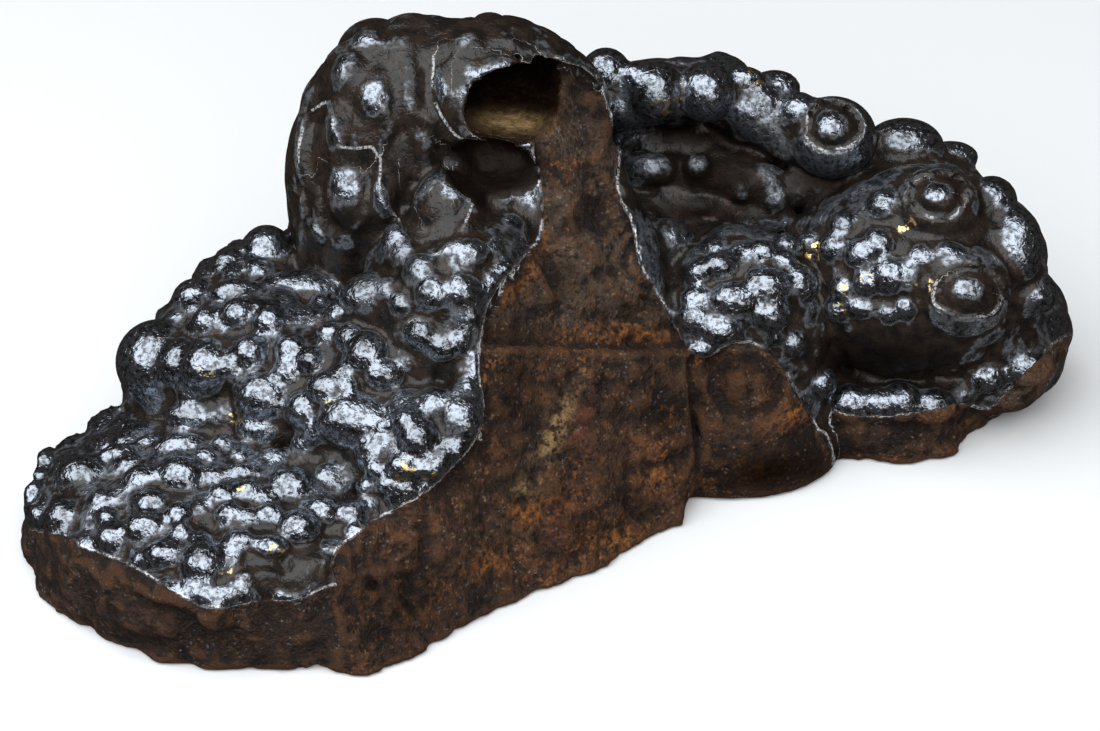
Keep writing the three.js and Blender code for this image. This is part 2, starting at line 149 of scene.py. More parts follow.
def domes(points: np.ndarray, pitch: float, spread: Pair, seed: int) -> np.ndarray:
    """Stand a dome round each of the seeds that sit, one to a lattice cell, near its middle.

    A dome is 1 - (distance / reach)^2, and the tallest counts. The reach differs from seed to
    seed.

    Args:
        points: Points in mm, shape (n, 3).
        pitch: Cell size in mm.
        spread: Least and greatest reach, in cell sizes.
        seed: Which set of seeds.

    Returns:
        Heights from 0 to 1.
    """
    scaled = points / pitch
    corner = np.floor(scaled)
    best = np.zeros(len(points), np.float32)
    for offset in np.ndindex(3, 3, 3):
        cell = corner + (np.array(offset) - 1)
        jitter = np.stack([lattice_random(cell, seed + k) for k in range(3)], axis=1)
        away = scaled - (cell + 0.1 + 0.8 * jitter)
        reach = spread[0] + (spread[1] - spread[0]) * lattice_random(cell, seed + 7)
        best = np.maximum(best, 1.0 - np.einsum("ij,ij->i", away, away) / (reach * reach))
    return best


def smooth_step(value: np.ndarray, low: float, high: float) -> np.ndarray:
    """Rise from 0 at low to 1 at high along 3t^2 - 2t^3."""
    t = np.clip((value - low) / (high - low), 0.0, 1.0)
    return t * t * (3.0 - 2.0 * t)


def smooth_min(a: np.ndarray, b: np.ndarray, blend: float) -> np.ndarray:
    """Take the smaller of two distances, rounded where they are within blend of each other.

    With h = max(blend - |a - b|, 0) / blend the result is min(a, b) - h^2 * blend / 4.

    Args:
        a: Distances in mm.
        b: Distances in mm.
        blend: Width of the rounding in mm.

    Returns:
        The joined distance.
    """
    overlap = np.maximum(blend - np.abs(a - b), 0.0) / blend
    return np.minimum(a, b) - overlap * overlap * (blend / 4.0)


def smooth_max(a: np.ndarray, b: np.ndarray, blend: float) -> np.ndarray:
    """Take the larger of two distances, rounded where they are within blend of each other."""
    return -smooth_min(-a, -b, blend)


# ---------------------------------------------------------------- places


def push_apart(value: np.ndarray, least: np.ndarray) -> np.ndarray:
    """Keep a signed distance at least so far from 0, on its own side."""
    return np.where(value < 0.0, -1.0, 1.0) * np.maximum(np.abs(value), least)


def near_edge(distance: np.ndarray) -> np.ndarray:
    """Keep a distance from an edge within the reach, on either side."""
    return np.clip(distance, -EDGE_REACH, EDGE_REACH)


@dataclass(frozen=True)
class Chart:
    """The plane that the lumps of the display side are laid out on.

    It stands square to a line that rises from the front. All chart lines meet at the eye.
    Attributes are in degrees and mm.
    """

    rise: float = 35.0
    reach: float = 520.0
    centre: Row = (0.0, 0.0, 22.0)

    @property
    def frame(self) -> np.ndarray:
        """Columns: right, up and out of the chart."""
        angle = math.radians(self.rise)
        up = (0.0, math.sin(angle), math.cos(angle))
        out = (0.0, -math.cos(angle), math.sin(angle))
        return np.array([(1.0, 0.0, 0.0), up, out]).T

    @property
    def eye(self) -> np.ndarray:
        """The point where all chart lines meet."""
        return np.array(self.centre) + self.reach * self.frame[:, 2]

    def lines(self, marks: np.ndarray) -> np.ndarray:
        """Unit directions from the eye through marks given as across and up in mm."""
        frame = self.frame
        at = np.array(self.centre) + marks @ frame[:, :2].T
        away = at - self.eye
        return away / np.linalg.norm(away, axis=1, keepdims=True)

    def marks(self, points: np.ndarray) -> tuple[np.ndarray, np.ndarray]:
        """Project points onto the chart.

        Args:
            points: Points in mm, shape (n, 3).

        Returns:
            Across and up in mm, shape (n, 2), and the distance from the eye along the view.
        """
        local = (points - self.eye) @ self.frame
        depth = -local[:, 2]
        return local[:, :2] * (self.reach / depth)[:, None], depth


def turn_matrix(yaw: float, pitch: float, roll: float) -> np.ndarray:
    """Rotation of roll about X, then pitch about Y, then yaw about Z, in degrees."""
    angles = [math.radians(a) for a in (roll, pitch, yaw)]
    turns = [Matrix.Rotation(a, 3, axis) for a, axis in zip(angles, "XYZ")]
    return np.array(turns[2] @ turns[1] @ turns[0])


def ellipsoid_distance(
    at: tuple, centre: np.ndarray, radii: np.ndarray, frame: np.ndarray
) -> np.ndarray:
    """Distance to an ellipsoid's skin, close enough near the skin.

    With k0 the length of the point in radii and k1 the length in radii squared, it is
    k0 * (k0 - 1) / k1.

    Args:
        at: x, y and z in mm, as arrays that broadcast together.
        centre: Centre in mm.
        radii: Three radii in mm.
        frame: Columns are the ellipsoid's own axes.

    Returns:
        Distances in mm, negative inside.
    """
    away = [at[k] - centre[k] for k in range(3)]
    k0 = 0.0
    k1 = 0.0
    for axis in range(3):
        along = sum(frame[k, axis] * away[k] for k in range(3))
        k0 = k0 + (along / radii[axis]) ** 2
        k1 = k1 + (along / radii[axis] ** 2) ** 2
    k0 = np.sqrt(k0)
    return k0 * (k0 - 1.0) / np.maximum(np.sqrt(k1), 1e-6)


def plane_distance(at: tuple, point: Row, facing: Row) -> np.ndarray:
    """Distance in mm in front of the plane through a point, at x, y and z."""
    normal = np.array(facing) / math.dist(facing, (0, 0, 0))
    return sum((at[k] - point[k]) * normal[k] for k in range(3))


def columns(points: np.ndarray) -> tuple:
    """Split points into x, y and z, or marks into across and up."""
    return tuple(points.T)


class Growth(Enum):
    """The groups of growth, each with its own skin and its own fracture faces."""

    TERRACE_LOW = "lower terrace"
    TERRACE_HIGH = "upper terrace"
    TOWER = "tower"
    DRAPE = "drape"
    HOOD = "hood"
    CHEEK = "cheek"
    MIDDLE = "middle"
    SHELF = "shelf"
    LOBE = "lobe"
    LIP = "lip"
    FOOT = "foot"


@dataclass(frozen=True)
class Mass:
    """An ellipsoid of growth: centre, radii and turn in mm and degrees.

    The side that looks away from the chart may be covered with lumps. They are given by how
    many the whole mass would have, and by their mean radius.
    """

    growth: Growth
    centre: Row
    radii: Row
    turn: Row = (0.0, 0.0, 0.0)
    blend: float = 3.0
    cover: tuple[int, float] | None = None

    @property
    def frame(self) -> np.ndarray:
        """Columns are the mass's own axes."""
        return turn_matrix(*self.turn)

    @property
    def reach(self) -> float:
        """Half the size of a cube that holds the mass."""
        return max(self.radii)

    def distance(self, at: tuple) -> np.ndarray:
        """Distance to the skin in mm at x, y and z."""
        return ellipsoid_distance(at, self.centre, self.radii, self.frame)


@dataclass(frozen=True)
class Finger:
    """A tapering, beaded rod of growth: ends and radii in mm."""

    growth: Growth
    start: Row
    end: Row
    radii: Pair
    beads: float = 3.0
    swell: float = 0.2
    blend: float = 1.2

    @property
    def centre(self) -> Row:
        """The middle of the finger."""
        return tuple((a + b) / 2 for a, b in zip(self.start, self.end))

    @property
    def reach(self) -> float:
        """Half the size of a cube that holds the finger."""
        return math.dist(self.start, self.end) / 2 + max(self.radii)

    def distance(self, at: tuple) -> np.ndarray:
        """Distance to the finger's axis less a radius that tapers and swells along it."""
        run = [b - a for a, b in zip(self.start, self.end)]
        length = sum(r * r for r in run)
        along = sum((at[k] - self.start[k]) * run[k] for k in range(3)) / length
        along = np.clip(along, 0.0, 1.0)
        radius = self.radii[0] + (self.radii[1] - self.radii[0]) * along
        radius = radius + self.swell * np.cos(2.0 * math.pi * self.beads * along)
        away = sum((at[k] - self.start[k] - run[k] * along) ** 2 for k in range(3))
        return np.sqrt(away) - radius


@dataclass(frozen=True)
class Fracture:
    """A broken face: a point on it, the way it looks, and what it cuts."""

    point: Row
    facing: Row
    cuts: tuple[Growth, ...]

    def distance(self, at: tuple) -> np.ndarray:
        """Distance outside the face at x, y and z."""
        return plane_distance(at, self.point, self.facing)


@dataclass(frozen=True)
class Skirt:
    """The oval broken wall round the lower terrace. It drifts sideways as it rises."""

    centre: Pair = (-46.5, -21.0)
    radii: Pair = (33.5, 25.5)
    yaw: float = -21.0
    drift: Pair = (0.14, -0.12)
    drift_from: float = 7.0

    def distance(self, at: tuple) -> np.ndarray:
        """Distance outside the wall, as for an ellipse in plan."""
        x = at[0] - self.centre[0] - self.drift[0] * (at[2] - self.drift_from)
        y = at[1] - self.centre[1] - self.drift[1] * (at[2] - self.drift_from)
        angle = math.radians(self.yaw)
        u = x * math.cos(angle) + y * math.sin(angle)
        v = y * math.cos(angle) - x * math.sin(angle)
        k0 = np.sqrt((u / self.radii[0]) ** 2 + (v / self.radii[1]) ** 2)
        k1 = np.sqrt((u / self.radii[0] ** 2) ** 2 + (v / self.radii[1] ** 2) ** 2)
        return k0 * (k0 - 1.0) / np.maximum(k1, 1e-6)


@dataclass(frozen=True)
class Eye:
    """A lump whose outer shell has broken open, so that an inner dome shows in the hole.

    Place and half sizes of the hole are on the chart in mm. The profile over t, the distance
    from the middle in half sizes, is a dome of (1 - (t / dome_end)^2)^0.6 that stands in a
    groove, then a smooth step up to the shell at its edge, and the shell, which fades out.
    """

    across: float
    up: float
    half: Pair
    height: float = 0.65
    dome: float = 1.7
    dome_end: float = 0.78
    groove: float = 1.5
    shell: float = 0.1
    edge: Pair = (0.95, 1.05)
    fade_end: float = 1.7
    ring: float = 1.02

    def offsets(self, marks: np.ndarray) -> tuple[np.ndarray, np.ndarray]:
        """Distance right of and above the middle, in half sizes."""
        across, up = columns(marks)
        return (across - self.across) / self.half[0], (up - self.up) / self.half[1]

    def span(self, marks: np.ndarray) -> np.ndarray:
        """Distance from the middle in half sizes, with a wavy outline."""
        u, v = self.offsets(marks)
        turn = np.arctan2(v, u)
        wave = 0.05 * np.sin(3.0 * turn + self.across) + 0.03 * np.sin(7.0 * turn + self.up)
        return np.sqrt(u * u + v * v) * (1.0 + wave)

    def relief(self, marks: np.ndarray) -> np.ndarray:
        """How far the skin is raised in mm at chart marks."""
        t = self.span(marks)
        past_edge = smooth_step(t, *self.edge)
        dome = self.dome * np.clip(1.0 - (t / self.dome_end) ** 2, 0.0, 1.0) ** 0.6
        floor = -self.groove * (1.0 - past_edge)
        shell = self.shell * past_edge * (1.0 - smooth_step(t, self.edge[1], self.fade_end))
        return self.height * (dome + floor + shell)

    def from_ring(self, marks: np.ndarray) -> np.ndarray:
        """Distance in mm outside the shell's broken edge, which carries a painted highlight low and
        left.
        """
        u, v = self.offsets(marks)
        away = near_edge((self.span(marks) - self.ring) * min(self.half))
        return push_apart(away, np.clip(EDGE_REACH * (u + 1.4 * v + 0.3), 0.0, EDGE_REACH))


@dataclass(frozen=True)
class Window:
    """A patch of the chart, where the shell has come off or where a broken face shows.

    The outline is a list of corners on the chart in mm, which are rounded. On the growths named,
    the skin inside lies sink mm deeper. The broken edge carries a painted highlight where up is
    within lit.
    """

    outline: tuple[Pair, ...]
    growths: tuple[Growth, ...] = ()
    sink: float = 0.0
    lit: Pair = (-99.0, 99.0)

    def corners(self) -> np.ndarray:
        """The outline with each corner cut back to the quarter points of its sides."""
        sharp = np.array(self.outline)
        after = np.roll(sharp, -1, axis=0)
        cut = [0.75 * sharp + 0.25 * after, 0.25 * sharp + 0.75 * after]
        return np.stack(cut, 1).reshape(-1, 2)

    def inside(self, marks: np.ndarray) -> np.ndarray:
        """Signed distance to the outline in mm, positive inside, and least far outside.

        Args:
            marks: Chart marks, shape (n, 2).

        Returns:
            The distance to the nearest side, with the sign from counting crossed sides.
        """
        corners = self.corners()
        low, high = corners.min(axis=0) - OUTLINE_REACH, corners.max(axis=0) + OUTLINE_REACH
        near = ((marks > low) & (marks < high)).all(axis=1)
        at = marks[near]
        nearest = np.full(len(at), np.inf)
        crossed = np.zeros(len(at), bool)
        for a, b in zip(corners, np.roll(corners, -1, axis=0)):
            run = b - a
            along = np.clip((at - a) @ run / (run @ run), 0.0, 1.0)
            away = at - a - along[:, None] * run
            nearest = np.minimum(nearest, np.einsum("ij,ij->i", away, away))
            spans = (a[1] > at[:, 1]) != (b[1] > at[:, 1])
            rise = run[1] if abs(run[1]) > 1e-9 else 1e-9
            crossed ^= spans & (at[:, 0] < a[0] + (at[:, 1] - a[1]) / rise * run[0])
        result = np.full(len(marks), -OUTLINE_REACH)
        result[near] = np.where(crossed, 1.0, -1.0) * np.sqrt(nearest)
        return result

    def outside(self, marks: np.ndarray) -> np.ndarray:
        """Distance outside the outline in mm, kept within the reach of edges."""
        return near_edge(-self.inside(marks))

    def edge(self, marks: np.ndarray) -> np.ndarray:
        """Distance in mm outside the lit part of the edge, which carries the painted highlight."""
        beyond = np.maximum(self.lit[0] - marks[:, 1], marks[:, 1] - self.lit[1])
        return push_apart(self.outside(marks), np.clip(beyond, 0.0, EDGE_REACH))


@dataclass(frozen=True)
class BrokenFace:
    """Where the display side is broken open down to flat faces.

    Inside the outline the stone ends at the planes, given by a point and a facing. Outside it
    the growths named may stand proud of the planes by a few mm.
    """

    outline: Window
    planes: tuple[tuple[Row, Row], ...]
    growths: tuple[Growth, ...]
    proud: float = 1.6

    def distance(self, at: tuple) -> np.ndarray:
        """Distance outside the nearest plane at x, y and z."""
        return np.maximum.reduce([plane_distance(at, *plane) for plane in self.planes])


@dataclass(frozen=True)
class Stain:
    """A soft patch of colour: chart place, half sizes in mm, turn in degrees and strength."""

    across: float
    up: float
    half: Pair
    turn: float = 0.0
    strength: float = 1.0

    def amount(self, marks: np.ndarray) -> np.ndarray:
        """exp(-(distance in half sizes)^2) times the strength."""
        angle = math.radians(self.turn)
        x = marks[:, 0] - self.across
        y = marks[:, 1] - self.up
        u = (x * math.cos(angle) + y * math.sin(angle)) / self.half[0]
        v = (y * math.cos(angle) - x * math.sin(angle)) / self.half[1]
        return self.strength * np.exp(-(u * u + v * v))


def strongest(stains: tuple[Stain, ...], marks: np.ndarray) -> np.ndarray:
    """The greatest amount that any of the stains has at each chart mark."""
    return np.maximum.reduce([stain.amount(marks) for stain in stains])


# ---------------------------------------------------------------- the stone's own shape

G = Growth

MASSES = (
    Mass(G.TERRACE_LOW, (-45, -22, 4), (38, 31, 17), (-21, 0, 0)),
    Mass(G.TERRACE_HIGH, (-40, -1, 17), (26, 16.5, 17.5), (-17, 0, 0), 1.5),
    Mass(G.TERRACE_HIGH, (-26, -8, 17), (18, 16, 19), (-10, 0, 0), 2),
    Mass(G.TERRACE_HIGH, (-45, 13, 18), (13, 12, 17), (0, 0, 0), 2, (40, 2.9)),
    Mass(G.TOWER, (-5, 18, 36), (17, 16, 27), (0, 0, 0), 4),
    Mass(G.CHEEK, (-14, -1, 29.5), (15.5, 16.5, 20.5), (0, 0, 0), 2),
    Mass(G.TOWER, (6, 9, 28), (11, 12, 22), (0, 0, 0), 4),
    Mass(G.TOWER, (0, -16, 8), (21.5, 33, 33), (0, 0, 0), 4),
    Mass(G.TOWER, (-25, -36, 3), (12, 11, 15), (30, 0, 0)),
    Mass(G.DRAPE, (-25, 19, 38), (15.5, 15, 31), (0, 0, 0), 4, (60, 4.6)),
    Mass(G.DRAPE, (-28, 23, 12), (20, 17, 24), (0, 0, 0), 4, (46, 4.6)),
    Mass(G.DRAPE, (-22, 6, 13), (14, 16, 13), (0, 0, 0), 4),
    Mass(G.HOOD, (-8, 19, 55.5), (17.5, 12, 14.5), (0, 14, 0), 3, (36, 2.7)),
    Mass(G.CHEEK, (-15, 4, 46), (6, 5, 8), (0, 0, 0), 2),
    Mass(G.MIDDLE, (12, 13, 10), (34, 22, 21), (5, 0, 0), 4),
    Mass(G.MIDDLE, (29, 14, 19), (16, 14, 18)),
    Mass(G.SHELF, (24, 40, 24), (29, 11, 22), (-2, 0, 0), 4, (100, 3.2)),
    Mass(G.MIDDLE, (6, 28, 12), (40, 21, 25), (2, 0, 0), 4, (110, 3.4)),
    Mass(G.LOBE, (57, 22, 25), (21, 18, 17.5), (0, 0, 0), 3, (60, 3.0)),
    Mass(G.LOBE, (54, 33, 20), (17, 12, 22), (0, 0, 0), 3, (100, 3.1)),
    Mass(G.LOBE, (70, 24, 12), (13, 15, 13), (0, 0, 0), 3, (60, 2.8)),
    Mass(G.LIP, (55, 15, 3), (25, 16, 10), (12, 0, 0)),
    Mass(G.FOOT, (29, 6, 2), (16, 11, 9), (5, 0, 0)),
    Mass(G.TERRACE_HIGH, (-19, -19, 16), (13, 13, 15.5), (0, 0, 0), 2),
    Mass(G.TERRACE_LOW, (-31, -28, 7), (14, 12, 12.5), (0, 0, 0), 2),
    Mass(G.DRAPE, (-18.5, 21, 53), (11.5, 12, 16.5), (0, 0, 0), 4),
)

FINGERS = (
    Finger(G.SHELF, (4, 35, 48.5), (26, 37, 48.5), (5.2, 5.2)),
    Finger(G.SHELF, (26, 37, 48.5), (44, 31, 41.5), (5.2, 5.0)),
    Finger(G.SHELF, (14, 30, 38), (42, 28, 36), (3.0, 2.8)),
    Finger(G.SHELF, (20, 26, 33), (36, 27, 31), (2.4, 2.4), 2.3),
)

FRACTURES = (
    Fracture((-31.4, -41.5, 17), (0.3, -0.92, 0.25), (G.TERRACE_LOW, G.TERRACE_HIGH)),
    Fracture((55, 4, 0), (0.0, -1.0, 0.12), (G.LIP,)),
    Fracture((69.7, 13.6, 0), (0.72, -0.68, 0.1), (G.LIP,)),
    Fracture((0, 45, 12), (-0.12, 0.98, -0.18), (G.MIDDLE, G.SHELF, G.DRAPE)),
)

TOWER_OUTLINE = (
    (-1.5, 45.4), (3.8, 46.0), (7.3, 43.3), (8.0, 41.0), (10.3, 34.2), (10.3, 31.1), (9.7, 26.9),
    (12.9, 20.5), (13.2, 15.7), (15.9, 11.4), (18.2, 7.2), (21.2, 2.0), (25.2, -8.3),
    (25.8, -24.9), (-7.6, -47.7), (-33.3, -50.7), (-33.0, -41.6), (-31.8, -35.5),
    (-33.3, -28.7), (-28.8, -24.9), (-23.5, -21.9), (-18.2, -18.9), (-12.1, -12.8),
    (-9.5, -7.5), (-10.9, -0.7), (-10.6, 3.9), (-9.1, 10.7), (-3.8, 16.7), (-1.4, 19.0),
    (-0.8, 22.8), (-1.5, 29.6), (-2.7, 33.1), (-1.6, 36.4), (-0.6, 40.2), (-1.4, 43.4),
)
DOME_OUTLINE = (
    (20.6, 2.7), (22.7, 1.3), (24.5, 1.3), (26.1, 3.0), (28.8, 3.7), (32.1, 3.0), (35.2, 0.2),
    (37.6, -5.2), (41.2, -10.4), (37.9, -11.4), (27.3, -14.6), (22.7, -17.7), (21.2, -8.3),
)
FACES = (
    BrokenFace(
        Window(TOWER_OUTLINE),
        (((-9.6, -17.2, 36), (0.55, -0.75, 0.37)), ((-8.6, -9.6, 42), (0.5, -0.6, 0.62))),
        (G.TOWER,),
    ),
    BrokenFace(
        Window(DOME_OUTLINE), (((33, -1.6, 8), (0.12, -0.95, 0.28)),), (G.MIDDLE,), 3.9
    ),
)

# Outlines of broken rock that follow the stone's own shape.
BELOW_TERRACE = (
    (-82.1, -23.7), (-78.8, -24.9), (-72.0, -26.0), (-71.2, -27.7), (-68.2, -28.3),
    (-62.1, -31.0), (-56.1, -35.1), (-50.8, -37.2), (-43.6, -35.5), (-37.9, -35.7),
    (-34.4, -33.6), (-30.0, -33.0), (-30.0, -53.7), (-83.3, -53.7), (-83.3, -29.5),
)
BELOW_LIP = (
    (42.1, -6.4), (45.3, -7.7), (50.6, -7.8), (57.6, -6.9), (62.0, -5.5), (65.9, -6.9),
    (68.0, -5.5), (69.8, -3.3), (73.3, 0.2), (77.3, 4.6), (81.8, 4.6), (81.8, -23.4),
    (42.1, -23.4),
)
BELOW_DOME = (
    (19.0, -15.0), (22.7, -17.0), (27.3, -14.0), (33.0, -12.5), (37.9, -11.0), (41.5, -9.5),
    (43.0, -14.0), (43.0, -26.0), (19.0, -26.0),
)
BARE_PATCHES = (
    Window(BELOW_TERRACE, (G.TERRACE_LOW, G.TERRACE_HIGH, G.CHEEK, G.TOWER)),
    Window(BELOW_LIP, (G.LIP, G.LOBE)),
    Window(BELOW_DOME, (G.MIDDLE, G.FOOT)),
)

HOLLOW = Mass(G.HOOD, (-5.5, 14, 61), (7.6, 10, 5.6), (0, -12, 0))
RECESS = Mass(G.HOOD, (-8.2, 5, 54.0), (6.0, 7, 3.2), (0, 8, 0))

# Chart lumps: across, up, half width, half height, in mm.
TERRACE_LUMPS: tuple[Row, ...] = (
    (-42.7, 19, 3.2, 3.2), (-54.2, 10.8, 3.3, 3.3), (-47.3, 11.7, 3.9, 2), (-37.6, 12.2, 6.4, 3.3),
    (-47.6, 8.4, 2.4, 2.4), (-52.3, 7.2, 2.1, 2.1), (-42.7, 7.2, 2.1, 2.1), (-27, 10.4, 5.5, 3.6),
    (-25, 11.1, 2.3, 2.3), (-22.7, 9.2, 2.1, 2.1), (-31.8, 8.4, 2.4, 2.4), (-27.3, 7.5, 2, 2),
    (-61.4, 1.1, 5.5, 5.5), (-56.7, 0.5, 3.5, 3.5), (-52.7, 0.1, 3.8, 3.8), (-48.8, -0.1, 2, 2),
    (-45.8, 2.2, 2.4, 2.4), (-39.4, 2.7, 2.3, 2.3), (-40.2, -0.8, 2, 2), (-36.7, 1.1, 1.8, 1.8),
    (-34.1, -3.4, 3, 2.4), (-30.9, -3.3, 1.5, 1.5), (-30.3, 4.6, 2.3, 2.3), (-27.7, 2.3, 3.2, 3.2),
    (-25.2, -1.1, 2.6, 2), (-22.4, 0.8, 1.8, 1.8), (-16.4, 2.7, 2.1, 2.1), (-19.7, 4.6, 2.3, 2.3),
    (-17.9, 11.1, 2.7, 2.7), (-13.3, 11.4, 2.7, 2.7), (-43.6, -4.9, 4.2, 3.5), (-44.2, -9.8, 3.3, 2.6),
    (-37.9, -6.9, 2.7, 2.7), (-35.8, -9.9, 1.7, 2.3), (-30, -8.3, 5.3, 3.8), (-21.7, -8.3, 2.1, 2.1),
    (-17.1, -5.5, 2.3, 2.3), (-20, -10.8, 2.6, 2.6), (-13.3, -8.3, 3, 3.5), (-16.4, -13.6, 1.4, 1.4),
    (-13.8, -12.8, 1.8, 1.8), (-9.8, -7.5, 1.1, 1.1), (-66.4, -6.7, 4.8, 3.2), (-54.5, -8, 3.8, 2.1),
    (-55.8, -11.7, 3.6, 2.1), (-64.8, -13.1, 3.3, 1.7), (-71.2, -16.1, 3.9, 3.2), (-61.8, -17, 3, 2.6),
    (-56.1, -16.1, 3.6, 3), (-52.1, -13.6, 2, 2), (-49.7, -11.6, 1.7, 1.7), (-49.7, -19.2, 2.1, 1.8),
    (-45.5, -18.6, 1.8, 1.8), (-39.1, -17.5, 3.2, 2.7), (-37.6, -12.2, 2, 2), (-33.6, -16.1, 1.8, 1.8),
    (-60.6, -20.4, 2.6, 2), (-61.4, -24.2, 3.2, 2.4), (-74.2, -22.5, 2.9, 2.6), (-66.7, -25.7, 2.3, 2),
    (-56.4, -22.2, 2, 2), (-56.1, -24.9, 1.5, 1.5), (-48.5, -22.2, 2.1, 1.8), (-45.2, -22.7, 1.5, 1.5),
    (-42.4, -22.2, 1.8, 1.8), (-58.6, -28.3, 3, 2.1), (-52.7, -29.5, 3.2, 3.2), (-34.5, -21.6, 2.7, 2.3),
    (-38.2, -24, 3, 2.6), (-30, -22.2, 2, 2), (-29.4, -24.9, 1.5, 1.5), (-27.6, -18.6, 2, 1.5),
    (-27.6, -21.1, 1.8, 1.4), (-23.9, -18.3, 2.3, 1.4), (-23, -20.4, 1.8, 1.1), (-22.4, -15.5, 2.3, 1.8),
    (-26.5, -15.8, 1.8, 1.5), (-78, -14.3, 2.6, 2.6), (-78.8, -18.9, 2, 2), (-73.5, -10.5, 1.8, 1.8),
    (-68.2, -20.4, 2.1, 2.1), (-67.4, -23, 1.5, 1.5), (-78.8, -22.7, 1.8, 1.8), (-60.6, -11.3, 2.1, 1.2),
    (-33.3, 5.4, 2.1, 1.4), (-18.2, -15.8, 2.1, 1.4), (-47, -15.8, 1.8, 1.4), (-41.7, -13.6, 2.1, 1.5),
    (-53, -26.4, 1.8, 1.5), (-47, -26.4, 2.4, 1.8), (-42.4, -27.2, 2.4, 1.8), (-63.6, -9, 1.8, 1.2),
)
TOWER_LUMPS: tuple[Row, ...] = (
    (-26.5, 40.5, 3.3, 4.2), (-31.1, 25.8, 4.5, 6.1), (-18.9, 35.7, 3.3, 4.5),
    (-16.7, 24.3, 5.2, 6.1), (-5.6, 21.7, 3.6, 3.3), (-8, 18.1, 1.8, 1.8), (-25, 26.6, 2.7, 4.5),
    (-24.2, 18.3, 2.7, 3.9), (-33.3, 35.7, 2.1, 3.9), (-37.9, 32.7, 1.8, 6.1), (-35.6, 25.1, 2.1, 6.1),
    (-31.1, 44, 3, 3.6), (-21.2, 41.7, 2.1, 5.2), (-31.1, 19, 3.3, 3),
    (-12.1, 17.5, 3, 2.4), (-19.7, 14.5, 3, 2.7), (-6.8, 14.5, 2.1, 1.5), (-12.1, 8.4, 1.8, 2.4),
    (-13.6, 3.9, 1.8, 2.4),
)
RIGHT_LUMPS: tuple[Row, ...] = (
    (8.3, 45.5, 3.2, 3.2), (12.9, 44.2, 2, 2), (15.9, 41.7, 3.8, 3.8), (23.5, 41.3, 3.8, 3.8),
    (34.8, 43, 3.3, 2.4), (29.5, 43.6, 3, 1.8), (37.9, 39, 2.6, 2.6), (22.3, 30.2, 2, 2),
    (25.5, 31.3, 2, 2), (28.3, 31, 1.8, 1.8), (31.4, 30.7, 1.8, 1.8), (15.9, 29.9, 3.3, 2.1),
    (34.1, 24.9, 2, 2), (28.8, 26.4, 1.8, 1.8), (22.7, 24.3, 2.4, 1.5), (18.2, 25.8, 2.4, 1.5),
    (17.4, 19, 3.8, 3.6), (25.5, 15.4, 2.3, 1.8), (22.3, 14.2, 1.8, 1.8), (32.7, 17.5, 2.1, 1.7),
    (36.4, 18.3, 2.1, 2.1), (33, 12, 3.3, 2.7), (28.2, 9.8, 3.6, 2.6), (22.3, 10.2, 2.3, 1.7),
    (33.3, 7.7, 3, 2.6), (22, 7.2, 2.3, 2.3), (25.8, 5.4, 3.3, 2.6), (22.7, 2.3, 2.1, 1.4),
    (34.1, 4.2, 1.5, 1.5), (37.1, 3.1, 2, 2), (37.9, 12.7, 3, 2.6), (35.8, 15.7, 1.8, 1.8),
    (39.1, 18.3, 2, 2), (44.2, 21.4, 2, 2), (43, 18.1, 2.3, 2), (47, 16.9, 2.3, 2.3),
    (49.7, 18.4, 2.3, 2.4), (51.8, 13.6, 3, 2.7), (54.8, 13.9, 1.8, 3), (56.5, 16.3, 2.1, 2.1),
    (60.3, 16, 3, 2.6), (47.9, 12.5, 2.1, 2.1), (44.2, 11.4, 1.8, 1.8), (43.6, 8.4, 2, 2),
    (47.3, 8.7, 2.3, 1.8), (53.8, 8.7, 1.8, 1.8), (51.2, 7.5, 1.5, 1.5), (50.6, 24.6, 2.4, 2.4),
    (67.6, 25.7, 3.3, 3.3), (53.8, 34.2, 5.2, 3.9), (61.4, 32.7, 3.6, 2.1), (71.5, 18.3, 3.6, 5.2),
    (58.9, 25.2, 5.6, 5.2), (63.5, 11.0, 6.2, 6.0), (43.0, 35.6, 5.6, 5.2),
    (73.5, 10.5, 3.8, 2.9), (72.7, -0.7, 3.6, 2.4), (45.6, -5.2, 2.8, 2.4), (49.7, -5.8, 2.4, 2.2),
    (53.3, -6, 3.0, 2.6), (58.0, -5.6, 3.2, 2.4), (62.5, -4.4, 2.6, 2.2), (66, -2.2, 2.8, 2.2),
    (41.8, -2.8, 2.1, 2.1),
)

EYES = (
    Eye(58.9, 25.8, (4.3, 3.4)),
    Eye(63.5, 11.1, (5.2, 3.8)),
    Eye(42.9, 36.3, (4.2, 3.7)),
)
EYE_GROWTHS = (G.LOBE, G.SHELF)

# Edges where one shell lies over another: round the knob, on the drape and round the hollow.
KNOB_EDGE = (
    (-25.6, 33.3), (-25.9, 25.1), (-22.7, 22.0), (-22.0, 19.0), (-18.2, 16.0), (-14.0, 19.0),
    (-11.4, 25.0), (-11.0, 27.7), (-14.0, 33.0), (-18.0, 37.0), (-22.0, 38.0),
)
DRAPE_EDGE = (
    (-33.0, 40.5), (-33.0, 33.8), (-31.0, 32.8), (-25.6, 33.3), (-26.5, 25.1), (-29.0, 20.8),
    (-34.1, 19.0), (-37.9, 22.8), (-38.5, 31.1), (-37.0, 38.2),
)
HOLLOW_EDGE = (
    (-17.5, 48.6), (-18.0, 41.0), (-16.0, 37.0), (-14.2, 34.6), (-10.6, 33.4), (-6.1, 33.4),
    (-4.2, 31.8), (-2.0, 26.6), (3.0, 27.0), (4.0, 40.0), (-1.5, 48.0), (-7.5, 51.0),
    (-14.0, 51.5),
)
